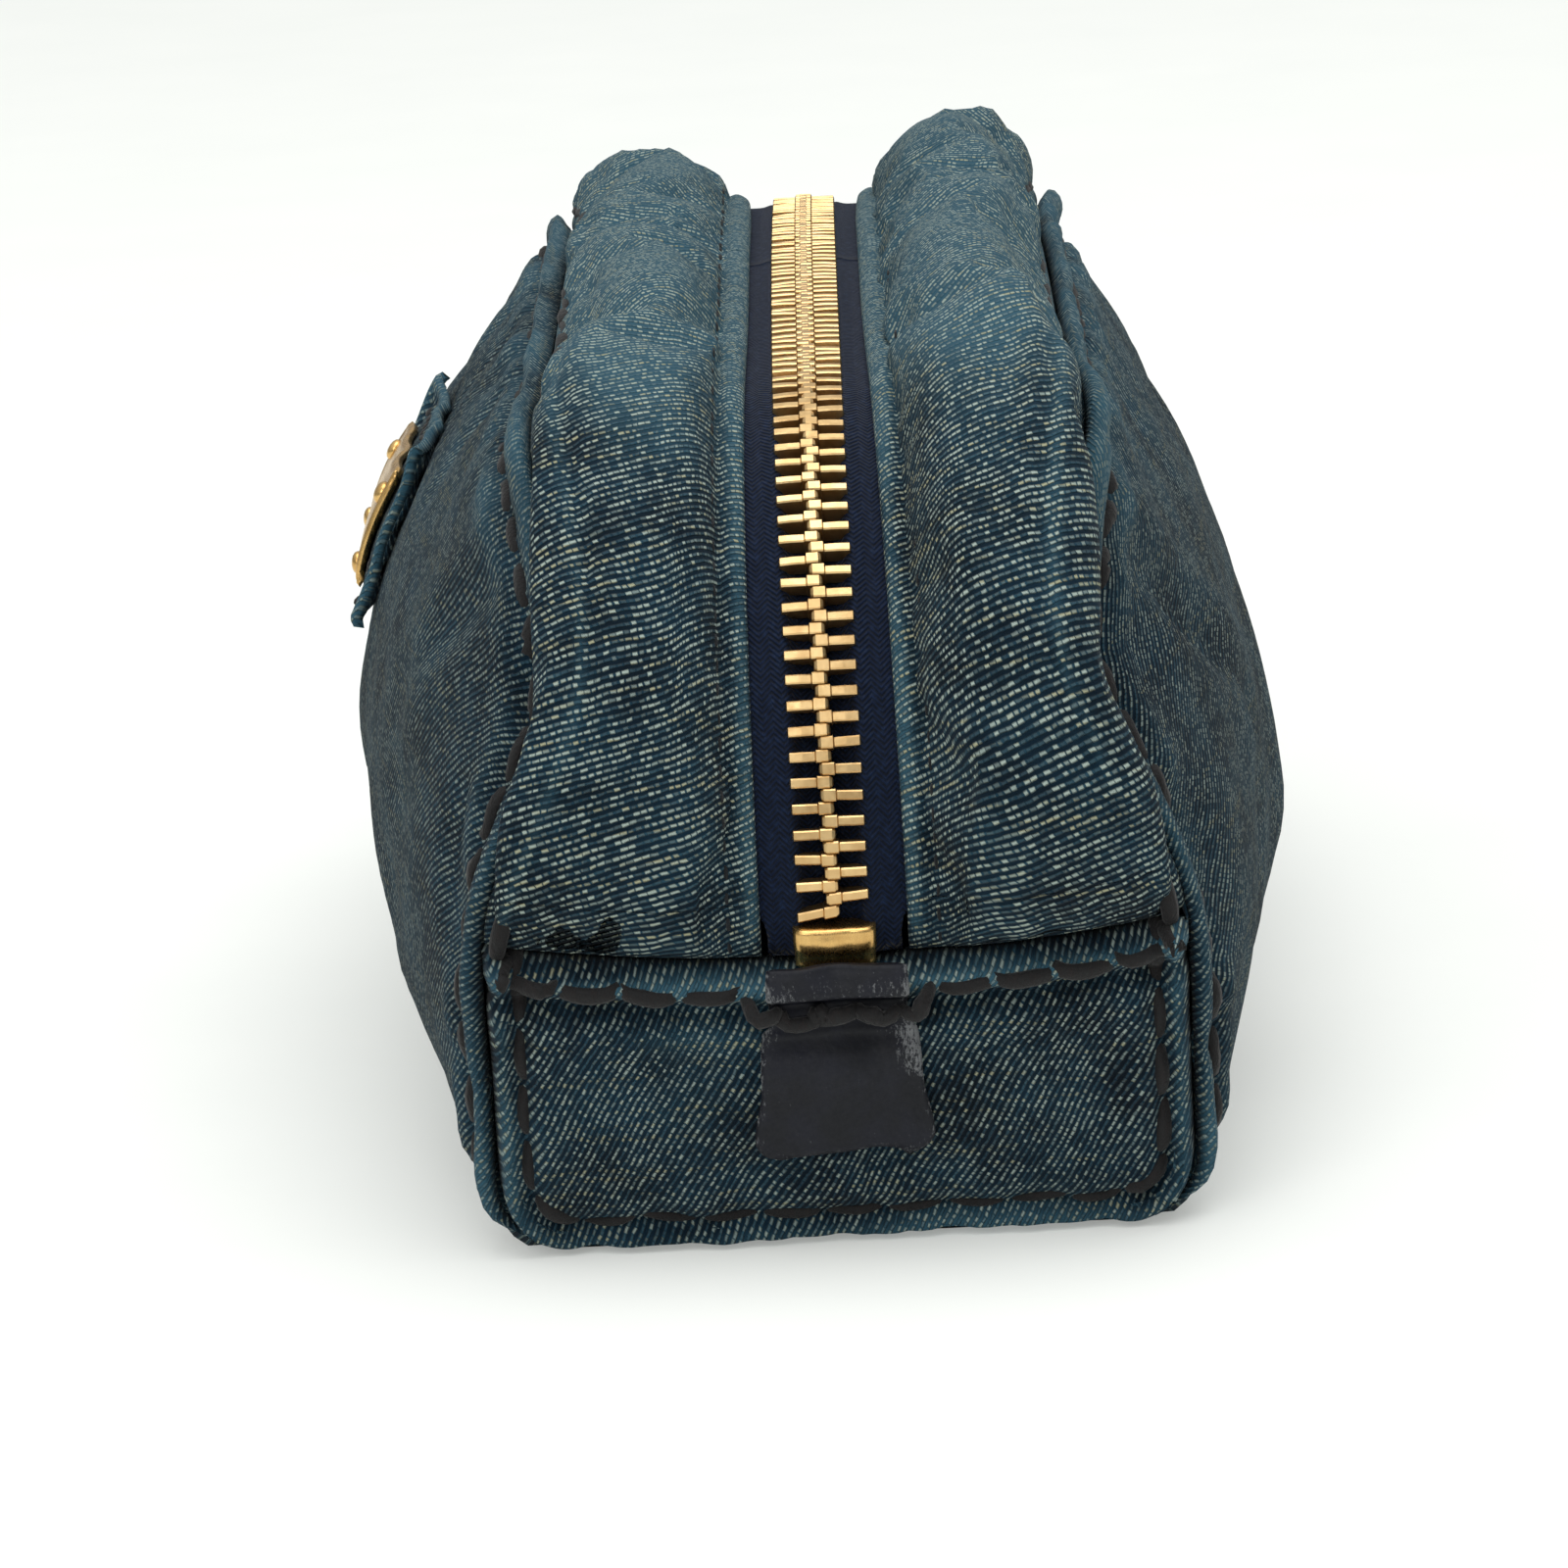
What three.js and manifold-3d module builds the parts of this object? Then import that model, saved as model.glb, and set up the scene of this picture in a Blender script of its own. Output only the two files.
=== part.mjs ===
// A soft zipped denim pouch for brushes, in millimetres, +Z up. Its long side runs along X, the front faces -Y, and
// the origin is the middle of the underside. Two J-shaped panels make the front, the back and the base. Between them
// a band with the zip runs up one end, over the top and down the other, and a small end panel closes each end below.

import * as THREE from 'three';
import { mergeVertices } from 'three/addons/utils/BufferGeometryUtils.js';
import Module from 'manifold-3d';

const wasm = await Module();
wasm.setup();

const DEGREE = Math.PI / 180;

// The zip's line, seen from the front: a low arch, two round corners and two straight ends that lean in downwards.
const ZIP_REACH = 92; // furthest point of the line from mid-length
const CORNER_RADIUS = 39.4;
const CORNER_HEIGHT = 35.1; // of the corners' centres
const TOP_SLOPE = 5.3 * DEGREE; // where the arch meets the corners
const END_LEAN = 10.3 * DEGREE;
const CORNER_X = ZIP_REACH - CORNER_RADIUS;
const ARCH_RADIUS = CORNER_X / Math.sin(TOP_SLOPE) + CORNER_RADIUS;
const ARCH_LENGTH = ARCH_RADIUS * TOP_SLOPE; // from the crest to a corner
const CORNER_LENGTH = CORNER_RADIUS * (90 * DEGREE + END_LEAN - TOP_SLOPE);
const CREST = CORNER_HEIGHT + CORNER_RADIUS * Math.cos(TOP_SLOPE) + ARCH_RADIUS * (1 - Math.cos(TOP_SLOPE));
const STRAIGHT_START = ARCH_LENGTH + CORNER_LENGTH; // distance from the crest, along the line
const STRAIGHT_HEIGHT = CORNER_HEIGHT - CORNER_RADIUS * Math.sin(END_LEAN);
const GROUND = STRAIGHT_START + STRAIGHT_HEIGHT / Math.cos(END_LEAN); // distance at which the line meets the ground

// The cloth band and panels
const SEAM_TOP = 24.3; // half width of the band at the top
const SEAM_BASE = 31.9; // and at the base
const SHOULDER = 1.2; // it is this much wider where each end turns down
const SHOULDER_PLACE = ARCH_LENGTH + 8;
const SHOULDER_SPREAD = 14;
const WAIST = 1.5; // and this much narrower halfway down, where the rolls hang over it
const WAIST_PLACE = ARCH_LENGTH + 38;
const WAIST_SPREAD = 16;
const BOTTOM_CORNER = 6.6; // radius of the cross-section's bottom corners
const CLOTH = 2; // denim with its seam backing
const EDGE_INSET = 1; // the panels' edges end this far under the band
const BAND_UNDERSIDE = -0.7;
const GAP = 0.3; // between pieces that touch
const FRONT_BELLY = 12.7; // how far the front swells beyond its edges
const BACK_BELLY = 11.9;
const FRONT_SKEW = 1.3; // over 1, the swelling is fullest above mid-height
const BACK_SKEW = 0.9;
const FULLNESS = 0.6; // under 1, the swelling starts steeply at the edges
const END_SEAM = GROUND - 27.7; // distance along the line of the seam over each end panel
const END_EDGE = 1.3; // the end panels' thickness outside the zip line at their edges
const END_CROWN = 1.6; // more at their middle

// The denim strips either side of the zip
const OPENING = 6.4; // half width of the tape that shows
const FRONT_ROLL = 5; // height of the padded roll of each strip over the zip line
const BACK_ROLL = 8;
const LIP_END = 49; // the opening stretch of the mouth, half its length
const TAPE_HIDDEN = 10.4; // outer edge of the tape, under the strip

// The zip
const PITCH = 2.3; // from tooth to tooth on one side
const TOOTH_LENGTH = 0.95; // along the zip
const TOOTH_ROOT = 3.1; // outer edge of the teeth from the zip's middle
const TOOTH_SPINE = 2.2; // the spine that joins them runs from here out
const TOOTH_TIP = -0.5; // past the middle, into the other row
const TOOTH_HALF_HEIGHT = 1.2;
const TAPE_EDGE = 3.6;
const TAPE_TOP = -0.05;
const TAPE_BOTTOM = -0.65;
const STOP_PLACE = STRAIGHT_START - 1.2; // distance along the line of the stops

// The slider, parked at the foot of the far corner
const SLIDER_LENGTH = 9.5;
const SLIDER_HALF = 4.5;
const SLIDER_UNDER = 1.55; // height of the upper plate's underside over the zip line
const SLIDER_TOP = 2.75;
const SLIDER_FLANGE = 3.65; // inner face of its side flanges
const BRIDGE_HALF = 3.6;
const BRIDGE_HOLE = 3.1;
const BRIDGE_WALL = 0.9;
const BRIDGE_WIDTH = 2.2;
const PIVOT_HEIGHT = 4.9; // of the pull's pin over the zip line
const RING_WIRE = 1.1;
const RING_HALF = 3.9;
const RING_LENGTH = 8;
const PULL_LENGTH = 18;
const PULL_WIDTH = 5.6;
const PULL_THICKNESS = 1.9;

// Patch and plate on the front
const PATCH_HALF = 20;
const PATCH_LOW = 46;
const PATCH_HIGH = 63;
const PLATE_HALF = 14;
const PLATE_LOW = 49;
const PLATE_HIGH = 60;

const finish = (color, roughness, metalness = 0) => new THREE.MeshStandardMaterial({ color, roughness, metalness });
const denim = finish(0x2c4858, 0.92);
const lining = finish(0x1b2433, 0.9);
const tapeCloth = finish(0x0c2c5c, 0.85);
const leather = finish(0x27293c, 0.55);
const brass = finish(0xd3ab62, 0.28, 1);

const pouch = new THREE.Group();
pouch.name = 'denim_brush_pouch';

function add(name, geometry, material) {
  const mesh = new THREE.Mesh(geometry, material);
  mesh.name = name;
  pouch.add(mesh);
  return mesh;
}

// A closed geometry from points and triangles, turned so that its faces point out.
function closed(points, triangles) {
  let volume = 0;
  for (const [a, b, c] of triangles) {
    volume += points[a].dot(new THREE.Vector3().crossVectors(points[b], points[c]));
  }
  const index = triangles.flatMap(([a, b, c]) => (volume > 0 ? [a, b, c] : [a, c, b]));
  const geometry = new THREE.BufferGeometry().setFromPoints(points);
  geometry.setIndex(index);
  geometry.computeVertexNormals();
  return geometry;
}

// A point over the zip line: s along it from the crest (positive to the near end), y across it, out away from it.
function overZip(s, y, out) {
  const d = Math.abs(s);
  let tilt = 0;
  let x = ARCH_RADIUS * Math.sin(d / ARCH_RADIUS);
  let z = CREST - ARCH_RADIUS * (1 - Math.cos(d / ARCH_RADIUS));
  if (d > ARCH_LENGTH) {
    tilt = TOP_SLOPE + Math.min(d - ARCH_LENGTH, CORNER_LENGTH) / CORNER_RADIUS;
    const down = Math.max(0, d - STRAIGHT_START);
    x = CORNER_X + CORNER_RADIUS * Math.sin(tilt) + down * Math.cos(tilt);
    z = CORNER_HEIGHT + CORNER_RADIUS * Math.cos(tilt) - down * Math.sin(tilt);
  }
  return new THREE.Vector3(Math.sign(s) * (x + out * Math.sin(tilt)), y, z + out * Math.cos(tilt));
}

function seamHalfWidth(s) {
  const d = Math.abs(s);
  const flare = THREE.MathUtils.smoothstep(d, WAIST_PLACE, END_SEAM);
  const shoulder = SHOULDER * Math.exp(-(((d - SHOULDER_PLACE) / SHOULDER_SPREAD) ** 2));
  const waist = WAIST * Math.exp(-(((d - WAIST_PLACE) / WAIST_SPREAD) ** 2));
  return THREE.MathUtils.lerp(SEAM_TOP, SEAM_BASE, flare) + shoulder - waist;
}

// Stretches of the zip line, with stations close together round the corners.
function stations(from, to) {
  const marks = [from, to];
  for (const sign of [-1, 1]) {
    for (let i = 0; i <= 10; i += 1) {
      marks.push(sign * (ARCH_LENGTH + (CORNER_LENGTH * i) / 10));
    }
    marks.push(sign * (ARCH_LENGTH / 2));
  }
  const inside = marks.filter((s) => s >= from && s <= to).sort((a, b) => a - b);
  return inside.filter((s, i) => i === 0 || s - inside[i - 1] > 1e-6);
}

// A solid whose cross-section, a closed outline of [y, out] points, is carried along stations of the zip line.
function carried(places, sectionAt) {
  const rings = places.map((s) => sectionAt(s));
  const size = rings[0].length;
  const points = places.flatMap((s, i) => rings[i].map(([y, out]) => overZip(s, y, out)));
  const triangles = [];
  for (let i = 0; i + 1 < places.length; i += 1) {
    for (let j = 0; j < size; j += 1) {
      const [a, b] = [i * size + j, i * size + ((j + 1) % size)];
      triangles.push([a, b, b + size], [a, b + size, a + size]);
    }
  }
  const clockwise = THREE.ShapeUtils.isClockWise(rings[0].map(([y, out]) => new THREE.Vector2(y, out)));
  for (const [ring, first] of [[rings[0], 0], [rings[places.length - 1], points.length - size]]) {
    const outline = ring.map(([y, out]) => new THREE.Vector2(y, out));
    for (const [a, b, c] of THREE.ShapeUtils.triangulateShape(outline, [])) {
      const startCap = first === 0;
      triangles.push(startCap !== clockwise ? [first + a, first + c, first + b] : [first + a, first + b, first + c]);
    }
  }
  return closed(points, triangles);
}

// A solid between two surfaces, each a function of u and v from 0 to 1.
function slab(columns, rows, outer, inner) {
  const points = [];
  for (const surface of [outer, inner]) {
    for (let j = 0; j <= rows; j += 1) {
      for (let i = 0; i <= columns; i += 1) {
        points.push(surface(i / columns, j / rows));
      }
    }
  }
  const layer = (columns + 1) * (rows + 1);
  const at = (i, j) => j * (columns + 1) + i;
  const triangles = [];
  for (let j = 0; j < rows; j += 1) {
    for (let i = 0; i < columns; i += 1) {
      const [a, b, c, d] = [at(i, j), at(i + 1, j), at(i + 1, j + 1), at(i, j + 1)];
      triangles.push([a, b, c], [a, c, d], [a + layer, c + layer, b + layer], [a + layer, d + layer, c + layer]);
    }
  }
  const rim = [];
  for (let i = 0; i < columns; i += 1) rim.push([at(i, 0), at(i + 1, 0)], [at(i + 1, rows), at(i, rows)]);
  for (let j = 0; j < rows; j += 1) rim.push([at(columns, j), at(columns, j + 1)], [at(0, j + 1), at(0, j)]);
  for (const [a, b] of rim) triangles.push([a, b + layer, b], [a, a + layer, b + layer]);
  return closed(points, triangles);
}

// x of the leaning near end at a height, out from the zip line
function endX(z, out) {
  const foot = CORNER_X + CORNER_RADIUS * Math.cos(END_LEAN) - STRAIGHT_HEIGHT * Math.tan(END_LEAN);
  return foot + z * Math.tan(END_LEAN) + out / Math.cos(END_LEAN);
}

// Front and back panels. v runs from the middle of the base out, round the bottom corner and up to the top seam.
const V_CORNER = 0.24;
const V_SIDE = 0.36;
const PANEL_TOP_CORNER = ARCH_LENGTH + CORNER_RADIUS * (45 * DEGREE - TOP_SLOPE);

// The near-end edge of a panel, with y positive
function panelEdge(v) {
  const flat = SEAM_BASE - BOTTOM_CORNER;
  if (v < V_SIDE) {
    const turn = (Math.max(0, v - V_CORNER) / (V_SIDE - V_CORNER)) * 90 * DEGREE;
    const z = BOTTOM_CORNER * (1 - Math.cos(turn));
    const y = flat * Math.min(1, v / V_CORNER) + BOTTOM_CORNER * Math.sin(turn);
    return new THREE.Vector3(endX(z, -EDGE_INSET), y, z);
  }
  const low = GROUND - BOTTOM_CORNER / Math.cos(END_LEAN);
  const s = THREE.MathUtils.lerp(low, PANEL_TOP_CORNER, (v - V_SIDE) / (1 - V_SIDE));
  return overZip(s, seamHalfWidth(s), -EDGE_INSET);
}

function topEdge(along) {
  const s = along * PANEL_TOP_CORNER;
  return overZip(s === 0 ? 1e-9 : s, seamHalfWidth(s), -EDGE_INSET);
}

function panelPoint(u, v, side, belly) {
  const along = 2 * u - 1;
  const edge = panelEdge(v);
  const corner = topEdge(1);
  const rise = THREE.MathUtils.smoothstep(v, V_SIDE, 1);
  const point = new THREE.Vector3(along * edge.x, edge.y, edge.z);
  const top = topEdge(along);
  point.x += rise * (top.x - along * corner.x);
  point.y += rise * (top.y - corner.y);
  point.z += rise * (top.z - corner.z);
  const up = Math.max(0, (v - V_CORNER) / (1 - V_CORNER));
  const fullness = Math.sin(Math.PI * up ** (side < 0 ? FRONT_SKEW : BACK_SKEW)) ** FULLNESS;
  point.y += belly * fullness * (1 - Math.abs(along) ** 2.6) ** 0.75;
  return new THREE.Vector3(point.x, side * point.y, point.z);
}

function panelNormal(u, v, side, belly) {
  const step = 1e-3;
  const at = (a, b) => panelPoint(THREE.MathUtils.clamp(a, 0, 1), THREE.MathUtils.clamp(b, 0, 1), side, belly);
  const acrossU = at(u + step, v).sub(at(u - step, v));
  const acrossV = at(u, v + step).sub(at(u, v - step));
  const normal = acrossU.cross(acrossV).normalize();
  return normal.multiplyScalar(-side);
}

// A layer over a stretch of a panel: from and to are heights over its outer face.
function panelLayer(side, belly, columns, rows, [u0, u1], [v0, v1], from, to) {
  const layer = (height) => (i, j) => {
    const [u, v] = [THREE.MathUtils.lerp(u0, u1, i), THREE.MathUtils.lerp(v0, v1, j)];
    return panelPoint(u, v, side, belly).addScaledVector(panelNormal(u, v, side, belly), height);
  };
  return slab(columns, rows, layer(to), layer(from));
}

const BASE_SEAM = 0.003; // the two panels meet under the middle of the base
for (const [name, side, belly] of [['front', -1, FRONT_BELLY], ['back', 1, BACK_BELLY]]) {
  add(`${name}_panel`, panelLayer(side, belly, 16, 15, [0, 1], [BASE_SEAM, 1], -CLOTH, 0), denim);
  const inside = CLOTH + 3 * GAP;
  add(`${name}_lining`, panelLayer(side, belly, 10, 9, [0.04, 0.96], [0.03, 0.95], -inside - 0.6, -inside), lining);
}

// End panels: one closes each end below the zip, with round bottom corners.
function endOutline(z) {
  const drop = Math.max(0, BOTTOM_CORNER - z);
  return SEAM_BASE - BOTTOM_CORNER + Math.sqrt(BOTTOM_CORNER ** 2 - drop ** 2) - 0.2;
}

const END_TOP = (GROUND - END_SEAM) * Math.cos(END_LEAN) - GAP;
const END_BOTTOM = 0.4;

function endCrown(across, z) {
  const up = THREE.MathUtils.clamp((z - END_BOTTOM) / (END_TOP - END_BOTTOM), 0, 1);
  return END_EDGE + END_CROWN * (1 - across ** 4) * Math.sin(Math.PI * up) ** 0.5;
}

for (const [name, sign] of [['near', 1], ['far', -1]]) {
  const face = (out, margin, low) => (u, v) => {
    const across = 2 * u - 1;
    const z = THREE.MathUtils.lerp(low, END_TOP, v ** 1.3);
    const height = out === null ? endCrown(across, z) : out;
    return new THREE.Vector3(sign * endX(z, height), across * (endOutline(z) - margin), z);
  };
  add(`${name}_end_panel`, slab(12, 8, face(null, 0, END_BOTTOM), face(BAND_UNDERSIDE, 0, END_BOTTOM)), denim);
  const [outer, inner] = [face(-EDGE_INSET - GAP, 3.6, 3.4), face(-EDGE_INSET - GAP - 0.6, 3.6, 3.4)];
  add(`${name}_end_lining`, slab(6, 4, outer, inner), lining);
}

// The band's long pieces, each cut where the mouth opens: near end, lip and far end.
const STRETCHES = [
  ['far', -END_SEAM, -LIP_END - GAP / 2],
  ['lip', -LIP_END + GAP / 2, LIP_END - GAP / 2],
  ['near', LIP_END + GAP / 2, END_SEAM],
];

function stripSection(s, side, roll) {
  const seam = seamHalfWidth(s) - 0.2;
  const flatten = 1 - 0.8 * THREE.MathUtils.smoothstep(Math.abs(s), STRAIGHT_START - 12, END_SEAM);
  const high = roll * flatten * (1 - 0.18 * THREE.MathUtils.smoothstep(Math.abs(s), ARCH_LENGTH, STRAIGHT_START));
  const share = (low, part) => low + (high - low) * part;
  const profile = [
    [OPENING, 0.2], [OPENING, 1.3], [OPENING + 0.7, 1.6], [OPENING + 2.4, share(1.5, 0.05)],
    [OPENING + 4.2, share(1.5, 0.45)], [OPENING + 6.8, share(1.5, 0.87)], [OPENING + 9.4, share(1.5, 1)],
    [seam - 5.6, share(1.2, 0.9)], [seam - 2.3, share(0.8, 0.62)], [seam - 0.5, share(0.4, 0.25)],
    [seam, 0], [seam - 0.2, BAND_UNDERSIDE], [TAPE_HIDDEN + GAP, BAND_UNDERSIDE], [TAPE_HIDDEN + GAP, 0.2],
  ];
  return profile.map(([y, out]) => [side * y, out]);
}

const flatSection = (side, [near, far], [bottom, top]) => {
  return () => [[side * near, bottom], [side * far, bottom], [side * far, top], [side * near, top]];
};

for (const [side, name, roll] of [[-1, 'front', FRONT_ROLL], [1, 'back', BACK_ROLL]]) {
  for (const [stretch, from, to] of STRETCHES) {
    const places = stations(from, to);
    add(`${name}_strip_${stretch}`, carried(places, (s) => stripSection(s, side, roll)), denim);
    const tape = flatSection(side, [TAPE_EDGE, TAPE_HIDDEN], [TAPE_BOTTOM, TAPE_TOP]);
    add(`${name}_tape_${stretch}`, carried(places, tape), tapeCloth);
    const liningSection = (s) => {
      const outer = seamHalfWidth(s) - 4.5;
      return flatSection(side, [TAPE_HIDDEN + GAP, outer], [BAND_UNDERSIDE - 0.9, BAND_UNDERSIDE - GAP])();
    };
    add(`${name}_strip_lining_${stretch}`, carried(places, liningSection), lining);
  }
}

// One row of teeth on its spine, from one gap between teeth to another.
function teethRow(side, firstTooth, lastTooth, offset) {
  const outline = [];
  for (let k = firstTooth; k <= lastTooth; k += 1) {
    const middle = (k + offset) * PITCH;
    outline.push([middle - TOOTH_LENGTH / 2, true], [middle + TOOTH_LENGTH / 2, false]);
  }
  const start = (firstTooth + offset - 0.5) * PITCH + GAP / 2;
  const end = (lastTooth + offset + 0.5) * PITCH - GAP / 2;
  const marks = [[start, false], ...outline, [end, false]];
  const points = [];
  const columns = marks.map(([s, opens], i) => {
    const tip = opens || (i > 0 && marks[i - 1][1]);
    const ys = tip ? [TOOTH_ROOT, TOOTH_SPINE, TOOTH_TIP] : [TOOTH_ROOT, TOOTH_SPINE];
    return [-TOOTH_HALF_HEIGHT, TOOTH_HALF_HEIGHT].map((out) => ys.map((y) => {
      points.push(overZip(s === 0 ? 1e-9 : s, side * y, out));
      return points.length - 1;
    }));
  });
  const triangles = [];
  const quad = (a, b, c, d) => triangles.push([a, b, c], [a, c, d]);
  for (let i = 0; i + 1 < columns.length; i += 1) {
    const [[lowA, highA], [lowB, highB]] = [columns[i], columns[i + 1]];
    const isTooth = marks[i][1];
    quad(highA[0], highB[0], highB[1], highA[1]);
    quad(lowA[0], lowA[1], lowB[1], lowB[0]);
    quad(lowA[0], lowB[0], highB[0], highA[0]);
    if (isTooth) {
      quad(highA[1], highB[1], highB[2], highA[2]);
      quad(lowA[1], lowA[2], lowB[2], lowB[1]);
      quad(lowA[2], highA[2], highB[2], lowB[2]);
      quad(lowA[1], highA[1], highA[2], lowA[2]);
      quad(lowB[1], lowB[2], highB[2], highB[1]);
    } else {
      quad(lowA[1], highA[1], highB[1], lowB[1]);
    }
  }
  const [[lowFirst, highFirst], [lowLast, highLast]] = [columns[0], columns[columns.length - 1]];
  quad(lowFirst[0], highFirst[0], highFirst[1], lowFirst[1]);
  quad(lowLast[0], lowLast[1], highLast[1], highLast[0]);
  return closed(points, triangles);
}

const LAST_TOOTH = Math.floor((STOP_PLACE - 3) / PITCH);
const LIP_TOOTH = Math.round(LIP_END / PITCH - 0.5); // the last tooth on the lip
for (const [side, name, offset] of [[-1, 'front', 0], [1, 'back', 0.5]]) {
  const rows = [
    ['far', -LAST_TOOTH, -LIP_TOOTH - 1],
    ['lip', -LIP_TOOTH, LIP_TOOTH],
    ['near', LIP_TOOTH + 1, LAST_TOOTH - 1],
  ];
  for (const [stretch, first, last] of rows) {
    add(`${name}_teeth_${stretch}`, teethRow(side, first, last, offset), brass);
  }
}

// Stops: one wide clamp at the near end holds both rows, and a small one ends each row at the far end.
function stopBlock(width, height, length) {
  const shape = new THREE.Shape();
  const [half, chamfer] = [width / 2, Math.min(width, height) / 4];
  shape.moveTo(-half, -height / 2);
  shape.lineTo(half, -height / 2);
  shape.lineTo(half, height / 2 - chamfer);
  shape.lineTo(half - chamfer, height / 2);
  shape.lineTo(-half + chamfer, height / 2);
  shape.lineTo(-half, height / 2 - chamfer);
  const block = new THREE.ExtrudeGeometry(shape, { depth: length, bevelEnabled: false });
  return block.translate(0, 0, -length / 2).rotateX(90 * DEGREE);
}

// Sets a mesh made with +X across the zip, +Y down the end and +Z out of it at a station of the zip line.
function place(mesh, s, y, out, direction) {
  const tangent = overZip(s + direction, 0, 0).sub(overZip(s - direction, 0, 0)).normalize();
  const across = new THREE.Vector3(0, 1, 0);
  const normal = new THREE.Vector3().crossVectors(across, tangent);
  mesh.quaternion.setFromRotationMatrix(new THREE.Matrix4().makeBasis(across, tangent, normal));
  mesh.position.copy(overZip(s, y, out));
}

place(add('bottom_stop', stopBlock(6.7, 3, 3.3), brass), STOP_PLACE, 0, 0.2, 0.1);
for (const [side, name] of [[-1, 'front'], [1, 'back']]) {
  place(add(`${name}_top_stop`, stopBlock(2.9, 2.6, 2.2), brass), -STOP_PLACE, side * 1.75, 0.1, -0.1);
}

// Leather tabs over the zip's two ends, flared towards the base
const TAB_TOP = END_SEAM - 1.8;
const TAB_LENGTH = 18;
const TAB_THICKNESS = 1.2;
const TAB_LOWEST = 2.1; // its underside stands at least this far over the zip line, clear of the strips' ends
for (const [name, sign] of [['near', 1], ['far', -1]]) {
  const tabFace = (lift) => (u, v) => {
    const half = THREE.MathUtils.lerp(6.4, 7.4, THREE.MathUtils.smoothstep(v, 0.25, 0.9)) - (v > 0.99 ? 1 : 0);
    const point = overZip(sign * (TAB_TOP + TAB_LENGTH * v), (2 * u - 1) * half, 0);
    const out = Math.max(TAB_LOWEST, endCrown(point.y / endOutline(point.z), point.z)) + GAP + lift;
    return point.add(new THREE.Vector3(sign * out * Math.cos(END_LEAN), 0, -out * Math.sin(END_LEAN)));
  };
  add(`${name}_tab`, slab(4, 7, tabFace(TAB_THICKNESS), tabFace(0)), leather);
}

// Slider: an upper plate with side flanges and a bridge, and a lower plate inside the pouch.
function toManifold(geometry) {
  const bare = geometry.clone();
  bare.deleteAttribute('normal');
  bare.deleteAttribute('uv');
  const merged = mergeVertices(bare, 1e-4);
  const mesh = new wasm.Mesh({
    numProp: 3,
    vertProperties: Float32Array.from(merged.attributes.position.array),
    triVerts: Uint32Array.from(merged.index.array),
  });
  return new wasm.Manifold(mesh);
}

function fromManifold(solid) {
  const { vertProperties, triVerts } = solid.getMesh();
  const geometry = new THREE.BufferGeometry();
  geometry.setAttribute('position', new THREE.BufferAttribute(vertProperties, 3));
  geometry.setIndex(new THREE.BufferAttribute(triVerts, 1));
  geometry.computeVertexNormals();
  return geometry;
}

function outlineOf(corners) {
  return new THREE.Shape(corners.map(([x, y]) => new THREE.Vector2(x, y)));
}

function sliderBody() {
  const channel = outlineOf([
    [-SLIDER_HALF, 0.25], [-SLIDER_FLANGE, 0.25], [-SLIDER_FLANGE, SLIDER_UNDER], [SLIDER_FLANGE, SLIDER_UNDER],
    [SLIDER_FLANGE, 0.25], [SLIDER_HALF, 0.25], [SLIDER_HALF, SLIDER_TOP - 0.6], [SLIDER_HALF - 0.8, SLIDER_TOP],
    [0.8 - SLIDER_HALF, SLIDER_TOP], [-SLIDER_HALF, SLIDER_TOP - 0.6],
  ]);
  const plate = new THREE.ExtrudeGeometry(channel, { depth: SLIDER_LENGTH, bevelEnabled: false });
  plate.translate(0, 0, -SLIDER_LENGTH / 2).rotateX(90 * DEGREE);
  const rise = BRIDGE_HOLE + BRIDGE_WALL;
  const inner = BRIDGE_HALF - BRIDGE_WALL;
  const arch = outlineOf([
    [-BRIDGE_HALF, -0.4], [-inner, -0.4], [-inner, BRIDGE_HOLE - 0.7], [0.7 - inner, BRIDGE_HOLE],
    [inner - 0.7, BRIDGE_HOLE], [inner, BRIDGE_HOLE - 0.7], [inner, -0.4], [BRIDGE_HALF, -0.4],
    [BRIDGE_HALF, rise - 1.1], [BRIDGE_HALF - 1.1, rise], [1.1 - BRIDGE_HALF, rise], [-BRIDGE_HALF, rise - 1.1],
  ]);
  const bridge = new THREE.ExtrudeGeometry(arch, { depth: BRIDGE_WIDTH, bevelEnabled: false });
  bridge.translate(0, 0, -BRIDGE_WIDTH / 2).rotateX(90 * DEGREE).rotateZ(90 * DEGREE).translate(0, 0, SLIDER_TOP);
  return fromManifold(toManifold(plate).add(toManifold(bridge)));
}

function sliderLowerPlate() {
  const half = SLIDER_HALF - 0.4;
  const end = SLIDER_LENGTH / 2;
  const outline = outlineOf([
    [-half + 1, -end], [half - 1, -end], [half, 1 - end], [half, end - 1], [half - 1, end], [1 - half, end],
    [-half, end - 1], [-half, 1 - end],
  ]);
  return new THREE.ExtrudeGeometry(outline, { depth: 1, bevelEnabled: false }).translate(0, 0, -2.9);
}

const SLIDER_REST = -(ARCH_LENGTH + CORNER_RADIUS * (90 * DEGREE - TOP_SLOPE)); // the slider faces straight out here
place(add('slider_body', sliderBody(), brass), SLIDER_REST, 0, 0, -0.1);
place(add('slider_lower_plate', sliderLowerPlate(), brass), SLIDER_REST, 0, 0, -0.1);

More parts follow.
